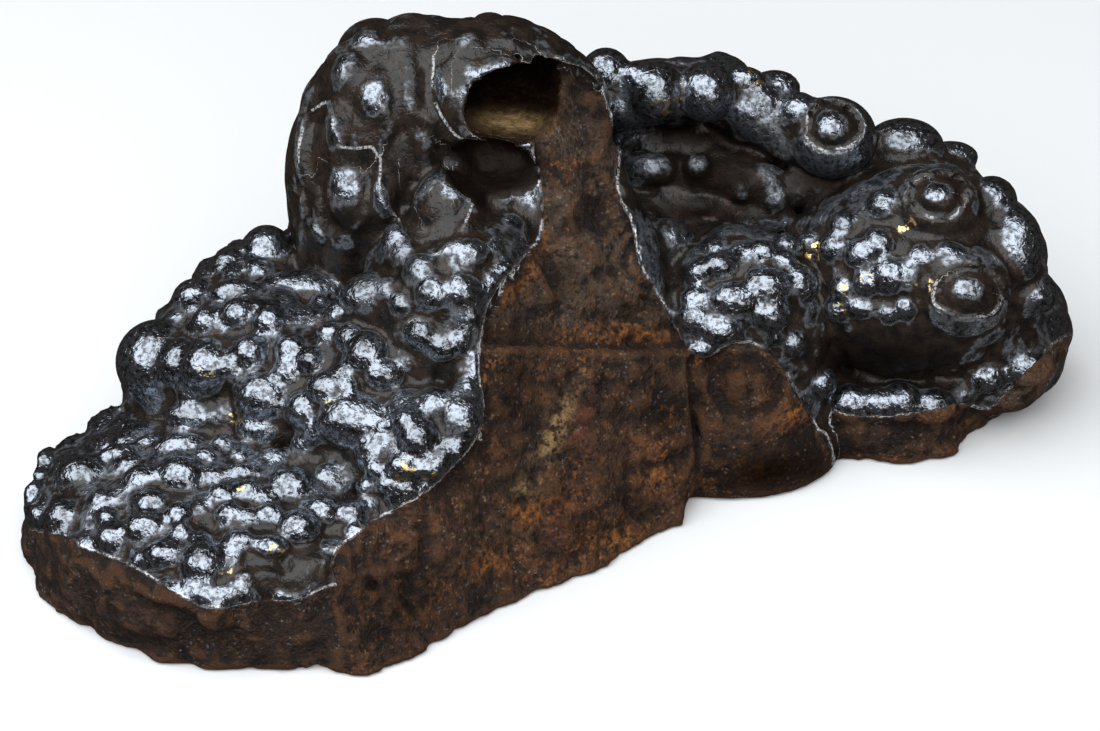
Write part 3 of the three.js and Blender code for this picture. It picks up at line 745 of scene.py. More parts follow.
WINDOWS = (
    Window(KNOB_EDGE, (G.DRAPE, G.CHEEK, G.TOWER, G.HOOD), 0.9, (10.0, 31.5)),
    Window(DRAPE_EDGE, (G.DRAPE,), 0.8, (31.8, 40.0)),
    Window(HOLLOW_EDGE, (G.DRAPE, G.CHEEK, G.TOWER, G.HOOD), -0.7, (26.0, 46.5)),
)

# Where the skin is more and less polished than its growth.
SHINES = (
    Stain(-5.3, 21.7, (3.0, 2.7)), Stain(-8.3, 18.1, (1.6, 1.4)), Stain(-6.8, 14.8, (2.6, 1.2), 40),
    Stain(-31.1, 27.7, (2.6, 3.0)), Stain(-27.0, 40.5, (2.0, 2.8)), Stain(-17.1, 43.6, (1.2, 5.0)),
    Stain(-25.8, 48.6, (3.5, 2.0), 0, 0.6), Stain(-15.2, 26.6, (1.2, 1.4)),
    Stain(-10.4, 4.6, (1.0, 4.0)), Stain(-37.0, 32.0, (0.8, 4.0), 0, 0.6),
    Stain(-40.0, 36.0, (0.7, 3.0), 0, 0.5), Stain(-31.0, 19.5, (1.5, 1.5), 0, 0.6),
    Stain(58.5, 26.6, (1.6, 1.2)), Stain(63.0, 12.0, (2.0, 1.5)), Stain(42.3, 37.2, (2.0, 1.6)),
)
# Dulled places. Under the fingers, on the lobe's lower front and low on the terrace the dulling darkens
# the skin as painted shade.
SHADES = (
    Stain(-16.4, 24.3, (4.5, 5.5), 0, 0.5), Stain(22.7, 28.5, (14.0, 6.0), 0, 0.6),
    Stain(51.5, 2.0, (10.0, 3.5), 0, 0.7), Stain(-39.5, -31.0, (7.0, 3.2), 0, 0.8),
    Stain(-31.0, -30.5, (4.0, 3.0), 0, 0.8), Stain(59.2, 25.6, (5.2, 4.2), 0, 0.9),
    Stain(63.9, 10.9, (6.2, 4.7), 0, 0.9), Stain(43.2, 36.0, (5.0, 4.4), 0, 0.8),
)

# Painted shade: black patches on the underside of the dome, in the gaps between the fingers and
# in folds of the tower, where shade falls, and darker patches on parts of the break.
SHADE_AND_DARK_PATCHES = (
    Stain(33.5, -16.0, (10.0, 3.4), 10), Stain(22.0, 36.0, (13.0, 3.2), -9),
    Stain(24.0, 28.8, (12.0, 2.4), -8, 0.9), Stain(23.5, 22.8, (12.0, 2.4), -4, 0.9),
    Stain(41.0, 27.5, (6.0, 5.0), -30, 0.8), Stain(50.5, 1.0, (11.0, 3.2), 0, 0.8),
    Stain(-31.0, 21.0, (5.0, 3.0), 0, 0.5), Stain(-25.0, 15.2, (5.0, 3.0), 0, 0.6),
    Stain(-23.5, 27.4, (1.5, 5.0), 0, 0.5), Stain(17.5, -8.0, (4.0, 3.0), 0, 0.45),
    Stain(-5.0, -3.0, (3.0, 6.0), 0, 0.4), Stain(5.0, -25.0, (5.0, 2.2), 30, 0.35),
    Stain(-22.0, -36.0, (7.0, 5.0), 20, 0.4), Stain(12.5, -21.0, (3.0, 2.4), 0, 0.4),
    Stain(1.5, 12.5, (3.5, 2.5), 0, 0.3),
)
STAINS_AND_GLINTS = {
    "rust": (
        Stain(-0.8, -21.9, (4.0, 1.8), 20), Stain(-9.8, -30.2, (1.6, 1.2)),
        Stain(37.1, -7.5, (1.8, 1.6)), Stain(18.2, -29.5, (2.6, 3.6)),
        Stain(-3.8, -22.7, (2.4, 1.4), -30), Stain(-1.5, 19.0, (0.9, 3.4)),
        Stain(-4.5, 12.5, (4.0, 1.0), 45), Stain(-20.5, 36.0, (1.2, 1.8)),
        Stain(12.0, 5.0, (6.0, 1.4), -6), Stain(10.6, -26.5, (4.5, 2.4), 20, 0.7),
        Stain(-7.6, -29.5, (5.0, 2.0), 25, 0.7), Stain(16.0, -17.0, (3.0, 3.0), 0, 0.6),
        Stain(36.0, -8.5, (4.0, 1.5), 20, 0.6),
    ),
    "ochre": (
        Stain(0.8, -10.2, (1.5, 6.8), -24), Stain(-6.0, 36.9, (5.0, 1.5), -4, 1.5),
        Stain(-20.5, 37.0, (0.9, 1.2)), Stain(-7.0, 2.4, (3.0, 0.7), 0, 0.3),
        Stain(12.9, 6.0, (5.0, 0.6), -8, 0.3), Stain(-4.0, -18.5, (1.6, 1.2), 0, 0.7),
    ),
    "red": (Stain(4.8, -9.0, (1.5, 5.0), -10, 0.6), Stain(1.0, -25.0, (3.0, 5.0), 0, 0.35)),
    # Golden glints, painted reflections of warm light on the crust.
    "gold_glint": (
        Stain(40.2, 17.5, (1.8, 1.5)), Stain(48.2, 13.0, (1.4, 1.1)), Stain(43.9, 11.4, (1.4, 1.1)),
        Stain(43.6, 8.4, (1.4, 1.1)), Stain(53.8, 21.3, (1.6, 1.3)), Stain(56.8, 12.2, (1.4, 1.1)),
        Stain(31.1, 44.0, (2.0, 1.6)), Stain(16.7, 39.0, (1.8, 1.5)), Stain(18.9, 40.2, (1.4, 1.1)),
        Stain(-52.3, -1.4, (1.4, 1.1)), Stain(-47.0, -18.9, (1.4, 1.1)),
        Stain(-21.2, -15.1, (1.4, 1.1)), Stain(-22.7, -17.3, (1.1, 0.9)),
        Stain(-18.5, -16.4, (1.6, 1.0)), Stain(-49.3, -31.0, (1.2, 0.9)),
        Stain(-41.7, -27.9, (1.4, 0.9)), Stain(-34.5, -5.5, (1.4, 0.9)),
        Stain(-47.8, -8.0, (1.2, 0.9)), Stain(-50.9, 23.8, (1.0, 0.8)),
    ),
}


# ---------------------------------------------------------------- the stone's field


@dataclass(frozen=True)
class Skin:
    """How fine growth covers a skin.

    Heights in mm at two pitches, how far the skin lies under its masses, the pitch in mm and
    upward stretch of the growth, how polished its crests are, from 0 to 1, and the width in mm
    over which it flows into the growths before it.
    """

    coarse: float
    fine: float
    drop: float
    pitch: float
    stretch: float = 1.0
    polish: float = 1.0
    blend: float = 1.0


SKINS = {
    G.TERRACE_LOW: Skin(2.3, 0.3, 1.9, 4.7),
    G.TERRACE_HIGH: Skin(2.3, 0.3, 1.9, 4.7),
    G.TOWER: Skin(1.3, 0.15, 0.7, 4.6, 1.4, 0.65),
    G.DRAPE: Skin(1.7, 0.1, 1.2, 5.0, 2.2, 0.35),
    G.HOOD: Skin(1.2, 0.1, 0.7, 4.5, 1.8, 0.2),
    G.CHEEK: Skin(1.6, 0.1, 1.1, 4.7, 1.3, 0.75),
    G.MIDDLE: Skin(1.1, 0.25, 1.5, 4.7, 1.0, 0.85, 4.0),
    G.SHELF: Skin(1.2, 0.1, 0.8, 4.6, 1.0, 0.95),
    G.LOBE: Skin(1.1, 0.15, 1.1, 5.0, 1.0, 0.85),
    G.LIP: Skin(1.4, 0.1, 0.9, 4.2, 1.0, 0.9),
    G.FOOT: Skin(0.15, 0.1, 0.0, 6.0, 1.0, 0.0),
}


def cut_distance(growth: Growth, at: tuple) -> np.ndarray:
    """Distance outside the nearest fracture face of a growth, or far inside without one."""
    distance = np.full(np.broadcast_shapes(*(a.shape for a in at)), -50.0, np.float32)
    for face in FRACTURES:
        if growth in face.cuts:
            distance = np.maximum(distance, face.distance(at))
    if growth is Growth.TERRACE_LOW:
        distance = np.maximum(distance, Skirt().distance(at))
    return distance


def trim(growth: Growth, skin: np.ndarray, at: tuple, cover: np.ndarray | float) -> np.ndarray:
    """Flatten a growth that stands proud of a broken face.

    Args:
        growth: The growth.
        skin: Distance to its skin in mm.
        at: x, y and z in mm.
        cover: Height of the fine growth on the flattened part, in mm.

    Returns:
        The new distance, with a wide rounding between the skin and the flat part.
    """
    for face in FACES:
        if growth in face.growths:
            skin = smooth_max(skin, face.distance(at) - face.proud - cover, 5.0)
    return skin


@dataclass(frozen=True)
class Lump:
    """A small ellipsoid of growth on a mass. Its frame's columns are its own axes."""

    growth: Growth
    centre: np.ndarray
    radii: np.ndarray
    frame: np.ndarray
    blend: float

    @property
    def reach(self) -> float:
        """Half the size of a cube that holds the lump."""
        return float(max(self.radii))

    def distance(self, at: tuple) -> np.ndarray:
        """Distance to the skin in mm at x, y and z."""
        return ellipsoid_distance(at, self.centre, self.radii, self.frame)


@dataclass
class LumpPlacer:
    """Puts lumps on the masses, by marching along chart lines and by spirals on hidden sides.

    A line is followed from start to end in steps within stride, all in mm. It meets a mass where
    less than touch is left. A side is hidden where its normal's part towards the chart's eye is
    below hidden_slope.
    """

    chart: Chart
    steps: int = 300
    slack: float = 0.7
    stride: Pair = (-1.0, 20.0)
    start: float = 380.0
    end: float = 900.0
    touch: float = 0.2
    swell: float = 1.2
    hidden_slope: float = -0.25
    first_seed: int = 50

    def growth_distances(self, points: np.ndarray) -> np.ndarray:
        """Distance to each growth's cut masses and fingers, one row for each growth."""
        at = columns(points)
        rows = []
        for growth in Growth:
            row = np.full(len(points), FAR)
            for body in (*MASSES, *FINGERS):
                if body.growth is growth:
                    row = smooth_min(row, body.distance(at), body.blend)
            rows.append(np.maximum(trim(growth, row, at, 0.0), cut_distance(growth, at)))
        return np.array(rows)

    def body_distance(self, points: np.ndarray) -> np.ndarray:
        """Distance to the nearest bare growth."""
        return self.growth_distances(points).min(axis=0)

    def normals(self, points: np.ndarray, step: float = 0.3) -> np.ndarray:
        """Unit gradient of the distance, from differences a step apart."""
        sides = []
        for axis in np.eye(3) * step:
            sides.append(self.body_distance(points + axis) - self.body_distance(points - axis))
        normal = np.stack(sides, axis=1)
        return normal / np.linalg.norm(normal, axis=1, keepdims=True)

    def march(self, marks: np.ndarray) -> tuple[np.ndarray, np.ndarray]:
        """Find where the chart lines through some marks meet the masses.

        Each line goes forward by the distance that is left, times the slack. A line that
        passes by keeps its closest point.

        Args:
            marks: Across and up in mm, shape (n, 2).

        Returns:
            Points on or beside the masses, and the distance that each had left.
        """
        lines = self.chart.lines(marks)
        travel = np.full(len(marks), self.start)
        best = travel.copy()
        left = np.full(len(marks), FAR)
        for _ in range(self.steps):
            distance = self.body_distance(self.chart.eye + travel[:, None] * lines)
            best = np.where(distance < left, travel, best)
            left = np.minimum(left, distance)
            travel = np.minimum(travel + np.clip(distance, *self.stride) * self.slack, self.end)
        travel = np.where(left > self.touch, best, travel)
        return self.chart.eye + travel[:, None] * lines, left

    def on_chart(self, rows: tuple[Row, ...], sink: float) -> list[Lump]:
        """Put lumps where the chart shows them.

        Args:
            rows: Across, up, half width and half height in mm.
            sink: The share of the radius that a lump's middle lies under the mass's skin.

        Returns:
            The lumps, sunk into the masses. Those on the lip hang over its broken face, so they
            belong to the lobe, which isn't cut.
        """
        table = np.array(rows)
        points, left = self.march(table[:, :2])
        normals = self.normals(points)
        gap = np.where(left > self.touch, self.body_distance(points), 0.0)
        points = points - normals * gap[:, None]
        _, depth = self.chart.marks(points)
        radii = table[:, 2:] * (depth / self.chart.reach * self.swell)[:, None]
        deep = radii.min(axis=1)
        centres = points - normals * (deep * sink)[:, None]
        owners = self.growth_distances(centres).argmin(axis=0)
        growths = [Growth.LOBE if growth is Growth.LIP else growth for growth in Growth]
        lumps = []
        for owner, centre, size in zip(owners, centres, np.column_stack([radii, deep])):
            blend = 0.2 + 0.1 * float(size[2])
            lumps.append(Lump(growths[owner], centre, size, self.chart.frame, blend))
        return lumps

    def on_hidden_side(self, mass: Mass, seed: int) -> list[Lump]:
        """Cover the side of a mass that looks away from the chart.

        The lumps follow a spiral of golden angles and are kept where the mass is the skin.

        Args:
            mass: The mass to cover.
            seed: Which random sizes.

        Returns:
            The lumps.
        """
        count, size = mass.cover
        number = np.arange(count)
        height = 1.0 - 2.0 * (number + 0.5) / count
        angle = number * math.pi * (3.0 - math.sqrt(5.0))
        ring = np.sqrt(1.0 - height * height)
        unit = np.column_stack([ring * np.cos(angle), ring * np.sin(angle), height])
        points = np.array(mass.centre) + (unit * mass.radii) @ mass.frame.T
        normals = self.normals(points)
        hidden = normals @ self.chart.frame[:, 2] < self.hidden_slope
        bare = (self.body_distance(points) > -1.0) & (points[:, 2] > 1.0)
        chance = lattice_random(np.column_stack([number, number * 7, number * 13]), seed)
        radii = size * (0.55 + chance**2)
        keep = hidden & bare
        centres = (points - normals * (radii * 0.5)[:, None])[keep]
        rows = zip(centres, radii[keep])
        return [Lump(mass.growth, c, np.full(3, r), np.eye(3), 1.0 + 0.3 * r) for c, r in rows]

    def all_lumps(self) -> list[Lump]:
        """Every lump of the stone."""
        lumps = self.on_chart(TERRACE_LUMPS, 0.4)
        lumps += self.on_chart(TOWER_LUMPS, 0.65)
        lumps += self.on_chart(RIGHT_LUMPS, 0.32)
        covered = [mass for mass in MASSES if mass.cover]
        for seed, mass in enumerate(covered, self.first_seed):
            lumps += self.on_hidden_side(mass, seed)
        return lumps


@dataclass
class Grid:
    """An even grid of points over the stone, in mm."""

    pitch: float = 0.72
    low: Row = (-83.52, -51.84, -2.16)
    high: Row = (86.4, 58.0, 74.2)

    @property
    def axes(self) -> list[np.ndarray]:
        """Grid places along x, y and z."""
        return [np.arange(a, b, self.pitch, dtype=np.float32) for a, b in zip(self.low, self.high)]

    @property
    def shape(self) -> tuple[int, ...]:
        """How many points the grid has each way."""
        return tuple(len(axis) for axis in self.axes)

    def block(self, centre: Row, reach: float) -> tuple[slice, ...]:
        """Slices of the part of the grid within reach of a centre along each axis."""
        spans = []
        for axis, middle in zip(self.axes, centre):
            ends = np.searchsorted(axis, (middle - reach, middle + reach))
            spans.append(slice(int(ends[0]), int(ends[1])))
        return tuple(spans)

    def places(self, block: tuple[slice, ...]) -> tuple:
        """x, y and z of a block, as arrays that broadcast together."""
        x, y, z = (axis[span] for axis, span in zip(self.axes, block))
        return x[:, None, None], y[None, :, None], z[None, None, :]

    def sample(self, volume: np.ndarray, points: np.ndarray) -> np.ndarray:
        """Read a volume at free points by blending the eight grid values around each.

        Args:
            volume: Values on the grid.
            points: Points in mm, shape (n, 3).

        Returns:
            One value for each point.
        """
        scaled = (points - np.array(self.low)) / self.pitch
        corner = np.clip(np.floor(scaled).astype(int), 0, np.array(volume.shape) - 2)
        part = scaled - corner
        total = np.zeros(len(points))
        for offset in np.ndindex(2, 2, 2):
            weight = np.prod(np.where(np.array(offset) == 1, part, 1.0 - part), axis=1)
            index = corner + np.array(offset)
            total += weight * volume[index[:, 0], index[:, 1], index[:, 2]]
        return total


@dataclass
class ChartFront:
    """How deep the nearest skin lies along the chart lines, on a raster of the chart."""

    chart: Chart
    cell: float = 1.2
    half: tuple[int, int] = (80, 60)
    depths: np.ndarray = field(default_factory=lambda: np.zeros(0))

    def cells(self, marks: np.ndarray) -> np.ndarray:
        """The raster cell of each mark, as one number."""
        across = np.clip(np.rint(marks[:, 0] / self.cell) + self.half[0], 0, 2 * self.half[0])
        up = np.clip(np.rint(marks[:, 1] / self.cell) + self.half[1], 0, 2 * self.half[1])
        return (across * (2 * self.half[1] + 1) + up).astype(int)

    def draw(self, points: np.ndarray) -> None:
        """Keep the least depth of the points that fall in each cell."""
        marks, depth = self.chart.marks(points)
        self.depths = np.full((2 * self.half[0] + 1) * (2 * self.half[1] + 1), FAR)
        np.minimum.at(self.depths, self.cells(marks), depth)

    def behind(self, marks: np.ndarray, depth: np.ndarray) -> np.ndarray:
        """How far points lie behind the nearest skin, in mm."""
        return depth - self.depths[self.cells(marks)]


@dataclass(frozen=True)
class FaceRelief:
    """Relief of the broken faces in mm, at chart marks u across and v up.

    The numbers place the ripples' middle, the round core of the dome's shells and the small hole
    of the fan.
    """

    rings: Pair = (16.5, 16.0)
    ring_pitch: float = 2.3
    core: Pair = (29.8, -3.2)
    hole: Pair = (-27.0, -33.3)

    def ripple(self, u: np.ndarray, v: np.ndarray) -> np.ndarray:
        """Rings round a point, strongest 6.5 mm from it."""
        away = np.hypot(u - self.rings[0], (v - self.rings[1]) * 1.2)
        fade = np.exp(-(((away - 6.5) / 4.0) ** 2))
        return 0.35 * np.sin(2.0 * math.pi * away / self.ring_pitch) * fade

    def fold(self, u: np.ndarray, v: np.ndarray) -> np.ndarray:
        """A slow wave across the upper part."""
        return 0.8 * np.sin(0.75 * u + 0.12 * v) * smooth_step(v, 18.0, 24.0)

    def ledge(self, u: np.ndarray, v: np.ndarray) -> np.ndarray:
        """A step 3 mm high that fades out upwards and at both ends."""
        rise = smooth_step(v + 0.03 * u, 2.4, 3.4)
        span = smooth_step(u, -10.5, -9.0) * (1.0 - smooth_step(u, 19.0, 22.0))
        fade = 1.0 - smooth_step(v, 4.0, 18.0)
        return rise * (3.0 * span * fade)

    def shells(self, u: np.ndarray, v: np.ndarray) -> np.ndarray:
        """Two round steps about a small core, and an even part below them."""
        away = np.hypot((u - self.core[0]) / 1.1, v - self.core[1])
        steps = 1.1 * smooth_step(away, 5.0, 5.5) + 1.3 * smooth_step(away, 7.0, 7.5)
        steps += 2.0 * np.clip(1.0 - (away / 3.6) ** 2, 0.0, 1.0) ** 0.5
        low = 1.0 - smooth_step(v, -9.5, -6.0)
        return (steps + (2.4 - steps) * low) * smooth_step(u, 21.0, 23.5)

    def fan(self, u: np.ndarray, v: np.ndarray) -> np.ndarray:
        """Seventeen spokes round the hole, strongest 6 mm from it."""
        x, y = u - self.hole[0], v - self.hole[1]
        away = np.hypot(x, y)
        spokes = 0.3 * np.sin(17.0 * np.arctan2(y, x) + 0.6 * away)
        return spokes * np.exp(-(((away - 6.0) / 3.5) ** 2))

    def pit(self, u: np.ndarray, v: np.ndarray) -> np.ndarray:
        """The small hole in the middle of the fan."""
        away = np.hypot(u - self.hole[0], v - self.hole[1])
        return 2.2 * np.exp(-((away / 0.9) ** 2))

    def depth(self, marks: np.ndarray) -> np.ndarray:
        """How deep the relief goes into the stone at chart marks, in mm."""
        u, v = columns(marks)
        waves = self.ripple(u, v) + self.fold(u, v) + self.ledge(u, v)
        return waves - self.shells(u, v) + self.fan(u, v) + self.pit(u, v)


@dataclass
class Spot:
    """Some points of the stone, with what the chart says of them.

    points are in mm, shape (n, 3), and at is their x, y and z. behind is how far each lies
    behind the nearest skin in mm, shown is 1 on the display side and 0 elsewhere, and rough is
    the relief that a break has there in mm.
    """

    points: np.ndarray
    at: tuple
    marks: np.ndarray
    behind: np.ndarray
    shown: np.ndarray
    rough: np.ndarray


@dataclass
class Layers:
    """What the field says at some points.

    distance is in mm. crust is the distance from the crust's broken edge, positive on crust, and
    peel the distance from the nearest lit edge of a window or ring, which gets a painted highlight.
    polish goes from -1 to 1. hollow is how black a place is, as painted shade in the hollow, the
    recess and shaded places and as dark patches on the break, and stains how strong each stain is,
    the golden glints among them being painted reflections, mostly from 0 to 1.
    """

    distance: np.ndarray
    crust: np.ndarray
    peel: np.ndarray
    polish: np.ndarray
    hollow: np.ndarray
    stains: dict[str, np.ndarray] = field(default_factory=dict)

    def attributes(self) -> dict[str, np.ndarray]:
        """The layers that the mesh holds, by name."""
        names = ("crust", "peel", "polish", "hollow")
        return {name: getattr(self, name) for name in names} | self.stains


@dataclass
class StoneField:
    """The signed distance of the whole stone.

    Attributes are in mm: how far distances are kept, the band round the skin that gets relief,
    the height and pitch of a break's slow noise, and how far behind the nearest skin the display
    side ends, and how far the floor of the hollow does.
    """

    grid: Grid
    chart: Chart = Chart()
    reach: float = 6.0
    band: float = 2.8
    wander: float = 1.4
    wander_pitch: float = 13.0
    side_end: Pair = (5.0, 8.0)
    floor_end: Pair = (14.0, 20.0)
    skins: dict[Growth, np.ndarray] = field(default_factory=dict)
    lumps: dict[Growth, np.ndarray] = field(default_factory=dict)

    def grow(self) -> None:
        """Fill two volumes for each growth, one with its masses and fingers, one with its lumps.

        Each body is joined to its volume by a smooth minimum inside a block around it.
        """
        lumps = LumpPlacer(self.chart).all_lumps()
        self.skins = self.join((*MASSES, *FINGERS))
        self.lumps = self.join(lumps)
        log.info("%d masses, %d fingers and %d lumps", len(MASSES), len(FINGERS), len(lumps))

    def join(self, bodies: tuple | list) -> dict[Growth, np.ndarray]:
        """Join bodies growth by growth."""
        volumes = {g: np.full(self.grid.shape, self.reach, np.float32) for g in Growth}
        for body in bodies:
            block = self.grid.block(body.centre, body.reach + self.reach)
            volume = volumes[body.growth][block]
            distance = np.minimum(body.distance(self.grid.places(block)), self.reach)
            volume[...] = smooth_min(volume, distance, body.blend)
        return volumes

    def plain(self) -> np.ndarray:
        """The field on the grid without relief or noise."""
        block = tuple(slice(None) for _ in range(3))
        at = self.grid.places(block)
        total = np.full(self.grid.shape, self.reach, np.float32)
        for growth in Growth:
            skin = np.minimum(trim(growth, self.skins[growth], at, 0.0), self.lumps[growth])
            total = np.minimum(total, np.maximum(skin, cut_distance(growth, at)))
        total = np.maximum(total, -HOLLOW.distance(at))
        total = np.maximum(total, -RECESS.distance(at))
        total = np.maximum(total, -at[2]).astype(np.float32)
        for face in FACES:
            ahead = np.argwhere((total < 2.0) & (face.distance(at) > -4.0))
            points = ahead * self.grid.pitch + np.array(self.grid.low)
            marks, _ = self.chart.marks(points)
            wall = np.minimum(face.distance(columns(points)), face.outline.inside(marks))
            spot = tuple(ahead.T)
            total[spot] = np.maximum(total[spot], wall)
        return total

    def relief(self, points: np.ndarray) -> dict[Growth, np.ndarray]:
        """Height of the fine growth on each skin.

        Around each seed stands a dome, 1 - (distance / reach)^2 down to 0, at two pitches.
        """
        heights = {}
        made: dict[tuple, np.ndarray] = {}
        for growth, skin in SKINS.items():
            key = (skin.pitch, skin.stretch)
            if key not in made:
                flat = points / np.array((1.0, 1.0, skin.stretch))
                coarse = domes(flat, skin.pitch, (0.72, 1.02), 11)
                fine = domes(flat, skin.pitch * 0.45, (0.6, 0.8), 23)
                made[key] = np.stack([coarse, fine])
            heights[growth] = skin.coarse * made[key][0] + skin.fine * made[key][1] - skin.drop
        return heights

    def layers(self, points: np.ndarray, skins: dict, lumps: dict, front: ChartFront) -> Layers:
        """Work out the full field, the stains and the painted shade at some points.

        Args:
            points: Points in mm, shape (n, 3).
            skins: Distance to each growth's masses at the points.
            lumps: Distance to each growth's lumps at the points.
            front: The nearest skin on the chart.

        Returns:
            Distances, stains and painted shade at the points.
        """
        marks, depth = self.chart.marks(points)
        behind = front.behind(marks, depth)
        shown = 1.0 - smooth_step(behind, *self.side_end)
        rough = self.wander * fractal_noise(points, self.wander_pitch, 5, 3) + self.hackle(points)
        spot = Spot(points, columns(points), marks, behind, shown, rough)
        layers = self.grown(spot, skins, lumps)
        self.break_faces(layers, spot)
        self.tone(layers, spot)
        self.open_hollows(layers, spot)
        return layers

    def grown(self, spot: Spot, skins: dict, lumps: dict) -> Layers:
        """Join the growths, each with its fine growth, its windows and its fracture faces.

        Args:
            spot: The points.
            skins: Distance to each growth's masses at the points.
            lumps: Distance to each growth's lumps at the points.

        Returns:
            Layers without stains, with the edge and polish of the nearest growth.
        """
        count = len(spot.points)
        heights = self.relief(spot.points)
        distance = np.full(count, self.reach)
        crust = np.full(count, EDGE_REACH)
        peel = np.full(count, EDGE_REACH)
        polish = np.ones(count)
        for growth in Growth:
            skin = trim(growth, skins[growth] - heights[growth], spot.at, heights[growth])
            skin = smooth_min(skin, lumps[growth], 0.6)
            skin, peel_here = self.windows(growth, skin, spot)
            cut = cut_distance(growth, spot.at) + spot.rough
            shape = smooth_max(skin, cut, 0.4)
            nearer = shape < distance
            crust = np.where(nearer, self.broken_edge(growth, skin - cut, spot), crust)
            peel = np.where(nearer, peel_here, peel)
            polish = np.where(nearer, SKINS[growth].polish, polish)
            distance = smooth_min(distance, shape, SKINS[growth].blend)
        return Layers(distance, crust, peel, polish, np.zeros(count))

    def broken_edge(self, growth: Growth, gap: np.ndarray, spot: Spot) -> np.ndarray:
        """Distance from a growth's broken edge, positive where it keeps its crust.

        Args:
            growth: The growth.
            gap: Distance to its skin less that to its fracture faces, in mm.
            spot: The points.

        Returns:
            Distances in mm. The foot has no crust of its own.
        """
        edge = near_edge(gap)
        if growth is Growth.FOOT:
            edge = np.full(len(gap), -2.0)
        for patch in BARE_PATCHES:
            if growth in patch.growths:
                edge = np.where(spot.shown > 0.5, -near_edge(patch.inside(spot.marks)), edge)
        return edge

    def windows(
        self, growth: Growth, skin: np.ndarray, spot: Spot
    ) -> tuple[np.ndarray, np.ndarray]:
        """Sink the windows and open the ringed lumps of a growth.

        Args:
            growth: The growth.
            skin: Distance to its skin.
            spot: The points.

        Returns:
            The new distance, and the distance from the nearest edge.
        """
        edges = []
        for window in WINDOWS:
            if growth in window.growths:
                inside = window.inside(spot.marks)
                skin = skin + window.sink * smooth_step(inside, 0.0, 0.9) * spot.shown
                edges.append(window.edge(spot.marks))
        if growth in EYE_GROWTHS:
            for eye in EYES:
                skin = skin - eye.relief(spot.marks) * spot.shown
                edges.append(eye.from_ring(spot.marks))
        peel = np.full(len(spot.marks), EDGE_REACH)
        hidden = EDGE_REACH * (1.0 - spot.shown)
        for edge in edges:
            signed = push_apart(edge, hidden)
            peel = np.where(np.abs(signed) < np.abs(peel), signed, peel)
        return skin, peel

    def break_faces(self, layers: Layers, spot: Spot) -> None:
        """Break the faces of the display side out of the growths, down to bare rock."""
        low = 1.0 - smooth_step(spot.points[:, 2], 2.0, 16.0)
        scallop = 2.5 * smooth_noise(spot.points, 17.0, 41) * low
        relief = FaceRelief().depth(spot.marks)
        rock = np.full(len(low), EDGE_REACH)
        for face in FACES:
            inside = face.outline.inside(spot.marks)
            wall = np.minimum(face.distance(spot.at) + spot.rough + relief + scallop, inside)
            wall = np.where(spot.shown > 0.0, wall, -OUTLINE_REACH)
            layers.distance = smooth_max(layers.distance, wall, 0.4)
            rock = np.minimum(rock, near_edge(-inside) + 2.0 * EDGE_REACH * (1.0 - spot.shown))
        layers.crust = np.minimum(layers.crust, rock)
        layers.peel = np.where(rock < 0.0, EDGE_REACH, layers.peel)

    def tone(self, layers: Layers, spot: Spot) -> None:
        """Dull and polish the skin, and blacken the places of painted shade and the dark patches, after
        the tables.
        """
        # The shade table dulls the skin, as painted shade under the fingers, on the lobe's front and low
        # on the terrace.
        shade = strongest(SHADES, spot.marks) * spot.shown
        polish = layers.polish - shade * (layers.polish + 1.0)
        layers.polish = np.maximum(polish, strongest(SHINES, spot.marks) * spot.shown)
        # Black patches of painted shade, and darker patches on the break.
        layers.hollow = strongest(SHADE_AND_DARK_PATCHES, spot.marks) * spot.shown

    def open_hollows(self, layers: Layers, spot: Spot) -> None:
        """Sink the hollow and the recess, cut the base flat and lay the stains.

        The hollow loses its crust and the recess keeps a dull one, and both are blackened as painted
        shade.
        deeper than the rest of the display side, so its stains reach further in.
        """
        hollow = 0.7 * spot.rough - HOLLOW.distance(spot.at)
        recess = 0.9 * spot.rough - RECESS.distance(spot.at)
        inside = smooth_step(hollow, -0.6, -0.3)
        distance = smooth_max(layers.distance, np.maximum(hollow, recess), 0.6)
        layers.distance = np.maximum(distance, -spot.at[2])
        layers.crust = np.minimum(layers.crust, EDGE_REACH * (0.6 - inside))
        layers.peel = np.where(recess > -0.6, EDGE_REACH, layers.peel)
        # Painted shade: the recess is dulled, and it and the hollow are blackened.
        layers.polish = np.where(recess > -0.8, -1.0, layers.polish)
        dim = np.maximum(inside, 0.8 * smooth_step(recess, -1.5, -0.2))
        layers.hollow = np.maximum(layers.hollow, dim)
        deeper = 1.0 - smooth_step(spot.behind, *self.floor_end)
        seen = np.where(inside > 0.1, deeper, spot.shown)
        layers.stains = {k: strongest(rows, spot.marks) * seen for k, rows in STAINS_AND_GLINTS.items()}

    def hackle(self, points: np.ndarray) -> np.ndarray:
        """Sharp-edged relief of a break in mm: folded noise at three pitches."""
        total = np.zeros(len(points))
        for pitch, height in ((7.0, 0.9), (3.2, 0.5), (1.6, 0.28)):
            total += height * (1.0 - 2.0 * np.abs(smooth_noise(points, pitch, 71)))
        return total

    def full(self) -> tuple[np.ndarray, ChartFront]:
        """The field on the grid, with relief and noise near the skin.

        Returns:
            The volume, and the nearest skin on the chart.
        """
        volume = self.plain()
        near = np.abs(volume) < self.band
        index = np.argwhere(near)
        points = index * self.grid.pitch + np.array(self.grid.low)
        front = ChartFront(self.chart)
        front.draw(points[np.abs(volume[near]) < self.grid.pitch])
        skins = {growth: values[near] for growth, values in self.skins.items()}
        lumps = {growth: values[near] for growth, values in self.lumps.items()}
        volume[near] = self.layers(points, skins, lumps, front).distance
        log.info("%d grid points near the skin", len(points))
        return volume, front


# ---------------------------------------------------------------- meshing


